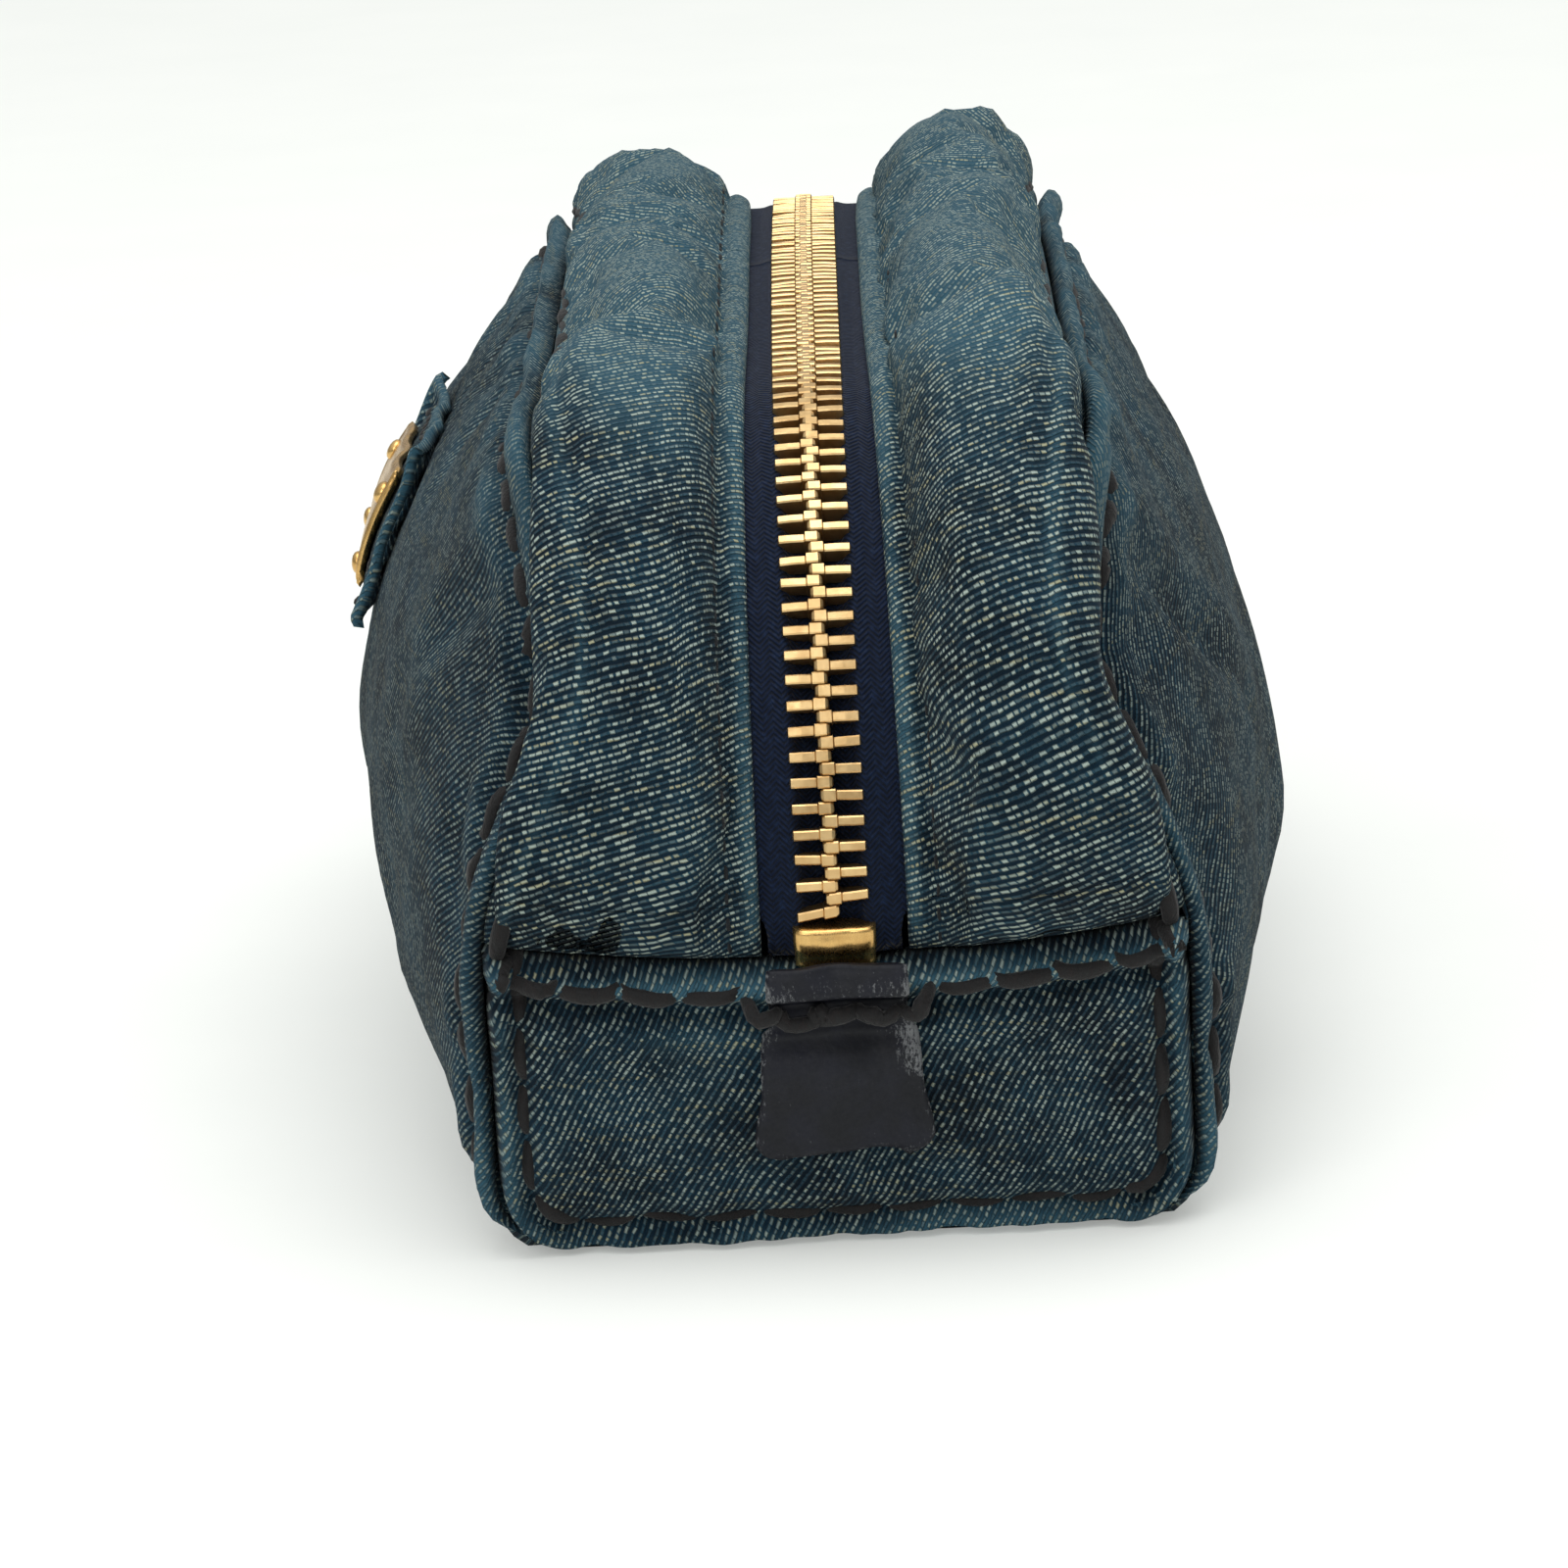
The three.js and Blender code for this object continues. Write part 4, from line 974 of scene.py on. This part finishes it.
    # This row lies in the crease under the roll, which hides it wherever the roll hangs over the seam.
    row = over_zip(s_row, seam_half(s_row) - 1.2, 0.9) * np.array([sign, side, 1])
    up = outward(s_row) * np.array([sign, 1, 1])
    heavy = stitches(
        f"{name}_edge_stitches_{half}", row, up, STITCH, HEAVY * 0.92, 0.1, seed + 6, HEAVY_THREAD,
    )
    turn_with_mouth(heavy)


def drop_on(guess, tree, direction):
    """Points dropped along a direction onto a surface, with the surface's normals facing back."""
    places, normals = [], []
    for p, way in zip(guess, direction):
        place, normal, _, _ = tree.ray_cast(Vector(p), Vector(way))
        if place is None:
            place, normal, _, _ = tree.find_nearest(Vector(p))
        places.append(place)
        normals.append(normal if normal.dot(Vector(way)) < 0 else -normal)
    return np.array(places), np.array(normals)


SWELL = {}


def strip_swell(side, roll):
    """How the padded roll of a strip swells in a cloth simulation: (across, out) for each point of its outline."""
    key = (side, roll)
    if key not in SWELL:
        s_line = np.linspace(0, END_SEAM, 60)
        s, y, out = strip_points(s_line, roll)
        first, last = 20, 72
        part = over_zip(s, y, out)[:, first:last:2]
        move = settle(part, -1.0, 0.03, 2.5)
        away = outward(s_line)[:, None]
        lift = (move * away).sum(-1)
        full = np.zeros((60, y.shape[1], 2))
        columns = np.arange(first, last)
        for i in range(60):
            full[i, columns, 0] = np.interp(columns, np.arange(first, last, 2), move[i, :, 1])
            full[i, columns, 1] = np.interp(columns, np.arange(first, last, 2), lift[i])
        SWELL[key] = full
    return SWELL[key]


def turn_with_mouth(piece):
    """The piece's placement baked into its mesh."""
    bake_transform(piece)


# ---------------------------------------------------------------- stitching on the end panels
def end_stitches(name, sign, tree, seed):
    """Row B round the sides and the bottom, and row C under the seam at the top."""
    flat = SEAM_BASE - BOTTOM_CORNER
    top = (GROUND - end_seam(SEAM_BASE)) * math.cos(END_LEAN)
    turn = np.linspace(0, math.pi / 2, 40)[1:]
    radius = BOTTOM_CORNER - ROW_B + 1.2
    side_z = np.linspace(top + 4.0, ROW_B - 1.7 + radius, 120)
    side_y = np.full(120, SEAM_BASE - ROW_B)
    corner_y = SEAM_BASE - ROW_B - radius * (1 - np.cos(turn))
    corner_z = side_z[-1] - radius * np.sin(turn)
    run_y = np.linspace(corner_y[-1], 0, 120)[1:]
    run_z = corner_z[-1] - 1.0 * smoothstep(np.abs(run_y), flat, 0) + 0.35 * np.sin(run_y / 2.3)
    half_y = np.concatenate([side_y, corner_y, run_y])
    half_z = np.maximum(np.concatenate([side_z, corner_z, run_z]), HEAVY + 0.1)
    y = np.concatenate([half_y, -half_y[::-1][1:]])
    z = np.concatenate([half_z, half_z[::-1][1:]])
    out = np.array([math.cos(END_LEAN) * sign, 0, -math.sin(END_LEAN)])
    guess = xyz(end_x(z, 12) * sign, y, z)
    line, up = drop_on(guess, tree, np.broadcast_to(-out, guess.shape))
    row_b = stitches(f"{name}_end_rim_stitches", line, up, STITCH, HEAVY * 1.05, 0.12, seed, HEAVY_THREAD)
    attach(row_b, "root")
    y = np.linspace(-(SEAM_BASE - ROW_B + 0.6), SEAM_BASE - ROW_B + 0.6, 200)
    z = (GROUND - end_seam(y) - ROW_C) * math.cos(END_LEAN) - 0.5 * np.cos(math.pi * y / (2 * SEAM_BASE))
    guess = xyz(end_x(z, 12) * sign, y, z)
    line, up = drop_on(guess, tree, np.broadcast_to(-out, guess.shape))
    over_tab = 1 - smoothstep(np.abs(y), 6.9, 8.6)
    line = line + up * ((TAB_THICK + 0.9) * over_tab)[:, None]
    row_c = stitches(
        f"{name}_end_top_stitches", line, up, STITCH * 0.93, HEAVY * 1.1, 0.1, seed + 1, HEAVY_THREAD,
    )
    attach(row_c, "root")


# ---------------------------------------------------------------- leather tabs
TAB_THICK = 1.3
TAB_LENGTH = 18.6


def tab(name, sign, tree, seed):
    down = np.linspace(0, 1, 64)
    across = np.linspace(-1, 1, 33)
    grid_a, grid_d = np.meshgrid(across, down)
    along = END_SEAM - 1.3 + TAB_LENGTH * grid_d
    below = along - END_SEAM
    pinch = bump(below, ROW_C + 0.3, 1.1)
    half = (
        6.35 + 0.75 * smoothstep(below, ROW_C, ROW_C + 1.4)
        + 1.05 * smoothstep(grid_d, 0.4, 1.0) - 0.15 * pinch
    )
    half += 0.12 * np.sin(below * 0.9 + 1)
    corner = 2.0
    from_end = (1 - grid_d) * TAB_LENGTH
    cut = corner - np.sqrt(np.maximum(0, corner**2 - np.maximum(0, corner - from_end) ** 2))
    half = half - cut
    y = grid_a * half
    z = (GROUND - along) * math.cos(END_LEAN)
    out = np.array([math.cos(END_LEAN) * sign, 0, -math.sin(END_LEAN)])
    guess = xyz(end_x(z, 12) * sign, y * 0.8, z)
    flat_line = xyz(end_x(z, 0) * sign, y, z)
    rest, _ = drop_on(guess.reshape(-1, 3), tree, np.broadcast_to(-out, (guess.size // 3, 3)))
    height = ((rest.reshape(guess.shape) - flat_line) * out).sum(-1)
    height = np.where(z > (GROUND - END_SEAM) * math.cos(END_LEAN) - 1.5, np.maximum(height, 0.9), height)
    for _ in range(6):
        height = 0.25 * (np.roll(height, 1, 0) + np.roll(height, -1, 0)) + 0.5 * height
        height[0], height[-1] = height[1], height[-2]
        height = 0.25 * (np.roll(height, 1, 1) + np.roll(height, -1, 1)) + 0.5 * height
        height[:, 0], height[:, -1] = height[:, 1], height[:, -2]
    over_seam = bump(below, 1.7, 1.5)
    height = height + TAB_THICK + 0.55 + 0.7 * over_seam - 0.75 * pinch + 0.3 * bump(below, ROW_C + 3, 1.8)
    height += 0.35 * smoothstep(np.abs(grid_a), 0.75, 1.0) * smoothstep(below, 7, 14)
    height += 0.12 * ripple(flat_line, 7, seed) - 0.35 * smoothstep(below, -0.4, -1.2)
    rim = np.maximum(smoothstep(np.abs(grid_a), 0.93, 1.0), 1 - smoothstep(from_end, 0, 0.6))
    height -= 0.3 * rim
    points = flat_line + out * height[..., None]
    edge = 0.6 * np.maximum(bump(np.abs(grid_a), 1.0, 0.07), 0.7 * bump(from_end, 0, 0.5))
    wear_and_light = edge + 0.55 * bump(below, 1.2, 1.6) * (0.6 + 0.5 * np.abs(grid_a))
    wear_and_light += (
        0.9 * bump(grid_a, 0.85, 0.18) * bump(below, 7.5, 2.6)
        + 0.4 * bump(below, ROW_C + 1.6, 0.8) * np.abs(grid_a)
    )
    uv = np.stack([y, along], -1)
    piece = shell(
        f"{name}_tab_leather", points, grid_normals(points, out), TAB_THICK, uv, np.clip(wear_and_light, 0, 1.2),
    )
    dress(piece, LEATHER)
    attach(piece, "root")
    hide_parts(f"{name}_tab")


# ---------------------------------------------------------------- zip
def tape(name, side, sign):
    """Half of a woven tape with the cord that the teeth grip."""
    s_line = spaced([(ARCH, 2.4), (CORNER, 1.6), (END_SEAM - STRAIGHT - 1.0, 0.8)])
    ring = [(10.4, -0.65), (7.0, -0.62), (4.2, -0.66), (3.2, -1.3), (0.3, -1.5), (0.2, -1.15), (2.4, -1.12),
            (2.8, 0.2), (3.5, 0.4), (4.1, 0.12), (5.0, -0.02), (7.0, -0.02), (10.4, -0.02)]
    controls = np.array([ring] * len(s_line), float)
    outline = b_spline(controls, 3)
    y, out = outline[..., 0], outline[..., 1]
    s = np.broadcast_to(s_line[:, None], y.shape)
    out = out + 0.1 * np.sin(2 * math.pi * s / 7.3) * smoothstep(y, 3.8, 6)
    y = y - (y - 6.0) * smoothstep(y, 6.0, 6.5) * smoothstep(s, END_SEAM - 9, END_SEAM - 3)
    points = over_zip(s, y, out) * np.array([sign, side, 1])
    rows, cols = y.shape
    uv = np.stack([s, y], -1)
    caps = [list(range(cols)), [(rows - 1) * cols + i for i in range(cols)][::-1]]
    faces = quads(rows, cols, wrap=True).tolist() + caps
    half = "near" if sign > 0 else "far"
    piece = make(f"{name}_tape_{half}_weave", points.reshape(-1, 3), faces, uv.reshape(-1, 2))
    dress(piece, TAPE)
    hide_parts(f"{name}_tape_{half}", f"{name}_tape_lip")
    turn_with_mouth(piece)


# Sections of a tooth from its root to its rounded tip: place across the zip, half length along it, top, bottom
TOOTH = [
    (3.30, 0.30, 0.62, -0.55), (3.18, 0.44, 0.95, -0.85), (2.0, 0.44, 1.02, -0.95), (0.92, 0.43, 1.02, -1.0),
    (0.78, 0.56, 1.3, -1.05), (-0.28, 0.55, 1.32, -1.05),
    (-0.52, 0.44, 1.15, -0.95), (-0.62, 0.26, 0.85, -0.7),
]
CHAMFER = 0.13


def teeth(name, side, sign, seed):
    """Half of a row of teeth: square bars, each with a taller head that interlocks with the other row."""
    r = np.random.default_rng(seed)
    offset = 0.0 if side < 0 else 0.5
    last = int((STOP_PLACE - 3) / PITCH) - (1 if offset else 0)
    first = 0 if sign > 0 else 1
    if side > 0:
        numbers = range(0, last + 1) if sign > 0 else range(1, last + 2)
        places = [sign * (k + 0.5) * PITCH if sign > 0 else -(k - 0.5) * PITCH for k in numbers]
    else:
        places = [sign * k * PITCH for k in range(first, last + 1)]
    points, faces, base = [], [], 0
    for s in places:
        foot = over_zip(s, 0, 0)
        out = outward(s)
        along = unit(over_zip(s + 0.05, 0, 0) - over_zip(s - 0.05, 0, 0))
        tilt = r.normal(0, 0.018) + (0.13 * bump(abs(s), STOP_PLACE - 3, 2.0) * (1 if side < 0 else -0.6))
        lean = r.normal(0, 0.02)
        sink = r.normal(0, 0.03)
        rings = []
        for place, half, top, bottom in TOOTH:
            c = CHAMFER
            ring = [(-half + c, top), (half - c, top), (half, top - c), (half, bottom + c),
                    (half - c, bottom), (-half + c, bottom), (-half, bottom + c), (-half, top - c)]
            rings.append([
                foot + along * (a + tilt * place) + np.array([0, side * place, 0])
                + out * (h + sink + lean * place)
                for a, h in ring
            ])
        points += [p for ring in rings for p in ring]
        faces += [[base + k for k in q] for q in quads(len(TOOTH), 8, wrap=True).tolist()]
        faces += [[base + k for k in range(8)][::-1], [base + (len(TOOTH) - 1) * 8 + k for k in range(8)]]
        base += len(TOOTH) * 8
    half_name = "near" if sign > 0 else "far"
    piece = make(f"{name}_teeth_{half_name}_cast", points, faces, smooth=False)
    dress(piece, BRASS_TEETH)
    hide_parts(f"{name}_teeth_{half_name}", f"{name}_teeth_lip")
    turn_with_mouth(piece)


def bottom_stop():
    """The wide clamp at the near end: a bulged bright face and a lower lip."""
    across, along = np.meshgrid(np.linspace(-1, 1, 25), np.linspace(-1, 1, 23))
    half, length = 3.75, 3.9
    y = across * (half - 0.1 * (along > 0))
    s = STOP_PLACE + 0.2 + along * length / 2
    top = 1.9 - 0.5 * smoothstep(along, 0.0, 0.7) + 0.15 * bump(along, -0.35, 0.35)
    top = top - 0.7 * np.abs(across) ** 8 - 0.6 * smoothstep(np.abs(along), 0.88, 1.0)
    top += 0.12 * bump(across, -0.2, 0.2) * bump(along, -0.2, 0.5) - 0.1 * bump(across, 0.35, 0.12)
    upper = over_zip(s, y, top)
    lower = over_zip(s, y, -1.3 + 0 * top)
    rows, cols = across.shape
    n = rows * cols
    index = np.arange(n).reshape(rows, cols)
    loop = np.concatenate([index[0, :-1], index[:-1, -1], index[-1, :0:-1], index[:0:-1, 0]])
    after = np.roll(loop, -1)
    rim = np.stack([after, loop, loop + n, after + n], -1)
    front = quads(rows, cols)
    points = np.concatenate([upper.reshape(-1, 3), lower.reshape(-1, 3)])
    piece = make("bottom_stop_cast", points, np.concatenate([front, front[:, ::-1] + n, rim]))
    dress(piece, BRASS)
    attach(piece, "root")
    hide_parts("bottom_stop")


# ---------------------------------------------------------------- patch and plate on the front
def on_front(tree, x, z):
    """Points on the front panel's outside at places x, z, and the normals there."""
    flat = xyz(x, -80.0, z).reshape(-1, 3)
    place, normal = drop_on(flat, tree, np.broadcast_to([0, 1.0, 0], flat.shape))
    return place.reshape(*np.shape(x), 3), normal.reshape(*np.shape(x), 3)


def smoothed(grid, times):
    for _ in range(times):
        inner = 0.25 * (grid[:-2, 1:-1] + grid[2:, 1:-1] + grid[1:-1, :-2] + grid[1:-1, 2:])
        grid = grid.copy()
        grid[1:-1, 1:-1] = 0.5 * grid[1:-1, 1:-1] + 0.5 * inner
    return grid


def patch(tree):
    half, low, high = PATCH_HALF, PATCH_LOW, PATCH_HIGH
    x, z = np.meshgrid(np.linspace(-half, half, 110), np.linspace(low, high, 46))
    edge = np.minimum(half - np.abs(x), np.minimum(z - low, high - z))
    z = z + 0.3 * np.sin(x / 5.2) * bump(edge, 0, 3)
    place, normal = on_front(tree, x, z)
    place = smoothed(place, 3)
    normal = unit(smoothed(normal, 12))
    pucker = 0.5 + 0.5 * np.cos(2 * math.pi * (x + z) / 4.2)
    lift = (
        1.5 - 0.5 * pucker * bump(edge, 2.2, 0.9) - 0.25 * bump(edge, 2.2, 1.0)
        + 0.15 * ripple(place, 9, 71)
    )
    corner = bump(np.abs(x), half, 3.4) * (bump(z, low, 3.2) + bump(z, high, 3.2))
    lift = (
        lift + 0.9 * corner + 0.5 * bump(edge, 0, 1.2) * (0.5 + 0.5 * ripple(place, 12, 72))
        - 0.5 * bump(edge, 0, 0.35)
    )
    points = place + normal * lift[..., None]
    wear_and_light = 0.7 * bump(edge, 0.3, 0.8) + 0.15 + 0.3 * corner
    uv = np.stack([x, z], -1)
    piece = shell(
        "front_patch_cloth", points, grid_normals(points, np.array([0, -1.0, 0])), 1.1, uv, np.clip(wear_and_light, 0, 1.2),
    )
    dress(piece, DENIM_PANEL)
    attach(piece, "root")
    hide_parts("front_patch")
    cloth = grid_tree(points)
    t = 2.2
    path = np.concatenate([
        xyz(np.linspace(-half + t, half - t, 120), 0, low + t),
        xyz(half - t, 0, np.linspace(low + t, high - t, 50))[1:],
        xyz(np.linspace(half - t, -half + t, 120), 0, high - t)[1:],
        xyz(-half + t, 0, np.linspace(high - t, low + t, 50))[1:],
    ])
    row, up = on_front(cloth, path[:, 0], path[:, 2])
    sewn = stitches("patch_stitches", row, up, 4.2, 0.42, 0.1, 73, HEAVY_THREAD)
    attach(sewn, "root")

    # The plain plate stands a little off the patch, its corners round and its rim rolled down
    middle, half_high, round_by = (PLATE_LOW + PLATE_HIGH) / 2, (PLATE_HIGH - PLATE_LOW) / 2, 1.6
    x, z = np.meshgrid(np.linspace(-PLATE_HALF, PLATE_HALF, 48), np.linspace(PLATE_LOW, PLATE_HIGH, 19))
    inner_x, inner_z = PLATE_HALF - round_by, half_high - round_by
    corner_x, corner_z = np.maximum(0, np.abs(x) - inner_x), np.maximum(0, np.abs(z - middle) - inner_z)
    scale = np.maximum(1, np.sqrt(corner_x**2 + corner_z**2) / round_by)
    x = np.sign(x) * (np.minimum(np.abs(x), inner_x) + corner_x / scale)
    z = middle + np.sign(z - middle) * (np.minimum(np.abs(z - middle), inner_z) + corner_z / scale)
    edge = np.minimum(PLATE_HALF - np.abs(x), half_high - np.abs(z - middle))
    place, normal = on_front(cloth, x, z)
    place, normal = smoothed(place, 40), unit(smoothed(normal, 40))
    points = place + normal * (1.25 - 0.25 * bump(edge, 0, 0.35) - 0.14 * bump(edge, 1.4, 0.35))[..., None]
    plate = shell(
        "badge_plate_cast", points, grid_normals(points, np.array([0, -1.0, 0])), 0.75, np.stack([x, z], -1), 0 * x,
    )
    dress(plate, BRASS)
    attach(plate, "root")
    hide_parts("badge_plate")
    metal = grid_tree(points)
    number = 0
    for rz in (PLATE_LOW + 2, PLATE_HIGH - 2):
        for rx in (2 - PLATE_HALF, PLATE_HALF - 2):
            number += 1
            centre, up = on_front(metal, np.array([rx]), np.array([rz]))
            rivet(f"badge_rivet_{number}", centre[0], up[0])


def rivet(node_name, centre, up):
    side = unit(np.cross(up, np.array([0, 0, 1.0])))
    other = np.cross(up, side)
    turn = np.arange(20) * 2 * math.pi / 20
    rings = [(1.15, -0.2), (1.15, 0.1), (1.0, 0.34), (0.7, 0.52), (0.3, 0.62)]
    points = [
        centre + r * (math.cos(a) * side + math.sin(a) * other) + h * up for r, h in rings for a in turn
    ]
    faces = quads(len(rings), 20, wrap=True).tolist() + [list(range(20))[::-1], [80 + i for i in range(20)]]
    piece = make(f"{node_name}_cast", points, faces)
    dress(piece, BRASS)
    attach(piece, "root")
    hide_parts(node_name)


# ---------------------------------------------------------------- linings
def panel_lining(name, side, belly, seed):
    a, v = np.meshgrid(np.linspace(-0.955, 0.955, 90), np.linspace(0.02, 0.955, 60))
    base = panel_base(a, v, side, belly - 1.0)
    normals = grid_normals(base, np.array([0, side, 0]))
    points = base - normals * (
        3.6 + 0.35 * ripple(base, 18, seed) + 0.2 * ripple(base, 7, seed + 1)
    )[..., None]
    points[..., 2] = np.maximum(points[..., 2], 2.6)
    uv = np.stack([a * 91, v * 100], -1)
    piece = shell(f"{name}_panel_lining_cloth", points, normals, 0.5, uv, 0 * a)
    dress(piece, LINING)
    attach(piece, "root")
    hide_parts(f"{name}_lining")


def end_lining(name, sign, seed):
    y, z = np.meshgrid(np.linspace(-27.8, 27.8, 40), np.linspace(3.6, 26.6, 20))
    out = -2.6 + 0.3 * ripple(xyz(0, y, z), 12, seed)
    points = xyz(end_x(z, out) * sign, y, z)
    facing = np.array([sign, 0, 0])
    piece = shell(
        f"{name}_end_lining_cloth", points, grid_normals(points, facing), 0.5, np.stack([y, z], -1), 0 * y,
    )
    dress(piece, LINING)
    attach(piece, "root")
    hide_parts(f"{name}_end_lining")


def strip_lining(name, side, sign, seed):
    s_line = spaced([(END_SEAM, 2.2)])
    y_line = np.linspace(0, 1, 14)
    s, t = np.meshgrid(s_line, y_line, indexing="ij")
    y = 9.0 + t * (seam_half(s) - 4.5 - 9.0)
    out = -2.3 + 0.22 * ripple(over_zip(s, y, 0), 10, seed) - 0.3 * np.sin(math.pi * t)
    points = over_zip(s, y, out) * np.array([sign, side, 1])
    facing = outward(s_line)[:, None] * np.array([sign, 1, 1])
    half = "near" if sign > 0 else "far"
    uv = np.stack([s, y], -1)
    piece = shell(f"{name}_strip_lining_{half}_cloth", points, grid_normals(points, facing), 0.45, uv, 0 * s)
    dress(piece, LINING)
    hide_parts(f"{name}_strip_lining_{half}", f"{name}_strip_lining_lip")
    turn_with_mouth(piece)


# ---------------------------------------------------------------- build
for panel_name, panel_side, panel_belly, panel_seed in (
    ("front", -1, FRONT_BELLY, 11), ("back", 1, BACK_BELLY, 23),
):
    panel_tree = panel(panel_name, panel_side, panel_belly, panel_seed)
    panel_lining(panel_name, panel_side, panel_belly, panel_seed + 200)
    if panel_side < 0:
        patch(panel_tree)
for end_name, end_sign, end_seed in (("near", 1, 31), ("far", -1, 37)):
    end_tree = end_panel(end_name, end_sign, end_seed)
    end_stitches(end_name, end_sign, end_tree, end_seed + 300)
    tab(end_name, end_sign, end_tree, end_seed + 400)
    end_lining(end_name, end_sign, end_seed + 500)
for strip_name, strip_side, strip_roll, strip_seed in (
    ("front", -1, FRONT_ROLL, 41), ("back", 1, BACK_ROLL, 53),
):
    for strip_sign in (1, -1):
        seed = strip_seed + (0 if strip_sign > 0 else 100)
        strip(strip_name, strip_side, strip_roll, strip_sign, seed)
        strip_lining(strip_name, strip_side, strip_sign, seed + 7)
        tape(strip_name, strip_side, strip_sign)
        teeth(strip_name, strip_side, strip_sign, seed + 9)
bottom_stop()

# The slider, its ring and the top stops keep their CAD shapes, with their edges rounded.
for node_name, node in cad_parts.items():
    node.data.materials.clear()
    node.data.materials.append(LEATHER if node_name == "pull_tab" else BRASS)
    if node_name in (
        "slider_body", "slider_lower_plate", "pull_ring", "pull_tab", "front_top_stop", "back_top_stop",
    ):
        bevel = node.modifiers.new("rounded edges", "BEVEL")
        bevel.width, bevel.segments, bevel.limit_method = 0.25 * MM, 3, "ANGLE"

# ---------------------------------------------------------------- floor, light and camera
floor_mesh = bpy.data.meshes.new("floor")
floor_mesh.from_pydata([(-4, -4, 0), (4, -4, 0), (4, 4, 0), (-4, 4, 0)], [], [(0, 1, 2, 3)])
floor = bpy.data.objects.new("floor", floor_mesh)
bpy.context.scene.collection.objects.link(floor)
paper = Nodes("pale floor")
speck = paper.noise(paper.in_mm(), 0.03, 3.0, 0.5)
paper_colour = paper.mix(speck, srgb(206, 208, 205), srgb(212, 213, 210))
floor_mesh.materials.append(
    paper.surface(
        Base_Color=paper_colour, Roughness=0.8, Specular_IOR_Level=0.1,
        Emission_Color=srgb(246, 248, 244), Emission_Strength=0.33,
    )
)

world = bpy.data.worlds.new("studio")
world.use_nodes = True
sky = world.node_tree
way = sky.nodes.new("ShaderNodeTexCoord")
parts = sky.nodes.new("ShaderNodeSeparateXYZ")
fall = sky.nodes.new("ShaderNodeMapRange")
fall.inputs["From Min"].default_value, fall.inputs["From Max"].default_value = 0.0, 0.9
fall.inputs["To Min"].default_value, fall.inputs["To Max"].default_value = 0.22, 0.95
sky.links.new(way.outputs["Generated"], parts.inputs[0])
sky.links.new(parts.outputs[2], fall.inputs["Value"])
sky.links.new(fall.outputs[0], sky.nodes["Background"].inputs[1])
sky.nodes["Background"].inputs[0].default_value = (0.97, 0.99, 0.98, 1)
bpy.context.scene.world = world


def lamp(name, place, size, power, target=(0, 0, 0.03)):
    data = bpy.data.lights.new(name, "AREA")
    data.shape, data.size, data.energy = "DISK", size, power
    light = bpy.data.objects.new(name, data)
    light.location = place
    light.rotation_mode = "QUATERNION"
    light.rotation_quaternion = (Vector(target) - Vector(place)).to_track_quat("-Z", "Y")
    bpy.context.scene.collection.objects.link(light)


lamp("overhead softbox", (0.1, 0.1, 1.3), 1.2, 9)
lamp("end softbox", (1.3, -0.5, 0.9), 0.9, 5)

CAMERA_AZIMUTH = 90.7 * DEG
CAMERA_ELEVATION = 12.68 * DEG
CAMERA_ROLL = -3.19 * DEG
camera_data = bpy.data.cameras.new("camera")
camera_data.sensor_width, camera_data.lens = 36, 173.9
camera = bpy.data.objects.new("camera", camera_data)
back = Vector((
    math.sin(CAMERA_AZIMUTH) * math.cos(CAMERA_ELEVATION),
    -math.cos(CAMERA_AZIMUTH) * math.cos(CAMERA_ELEVATION),
    math.sin(CAMERA_ELEVATION),
))
right = (-back).cross(Vector((0, 0, 1))).normalized()
up = right.cross(-back)
right, up = (
    right * math.cos(CAMERA_ROLL) + up * math.sin(CAMERA_ROLL),
    up * math.cos(CAMERA_ROLL) - right * math.sin(CAMERA_ROLL),
)
turned = Matrix((right, up, back)).transposed().to_4x4()
camera.matrix_world = Matrix.Translation((0.7549, 0.0043, 0.1932)) @ turned
camera_data.clip_start, camera_data.clip_end = 0.05, 20
bpy.context.scene.collection.objects.link(camera)
bpy.context.scene.camera = camera
bpy.context.scene.view_settings.view_transform = "Standard"
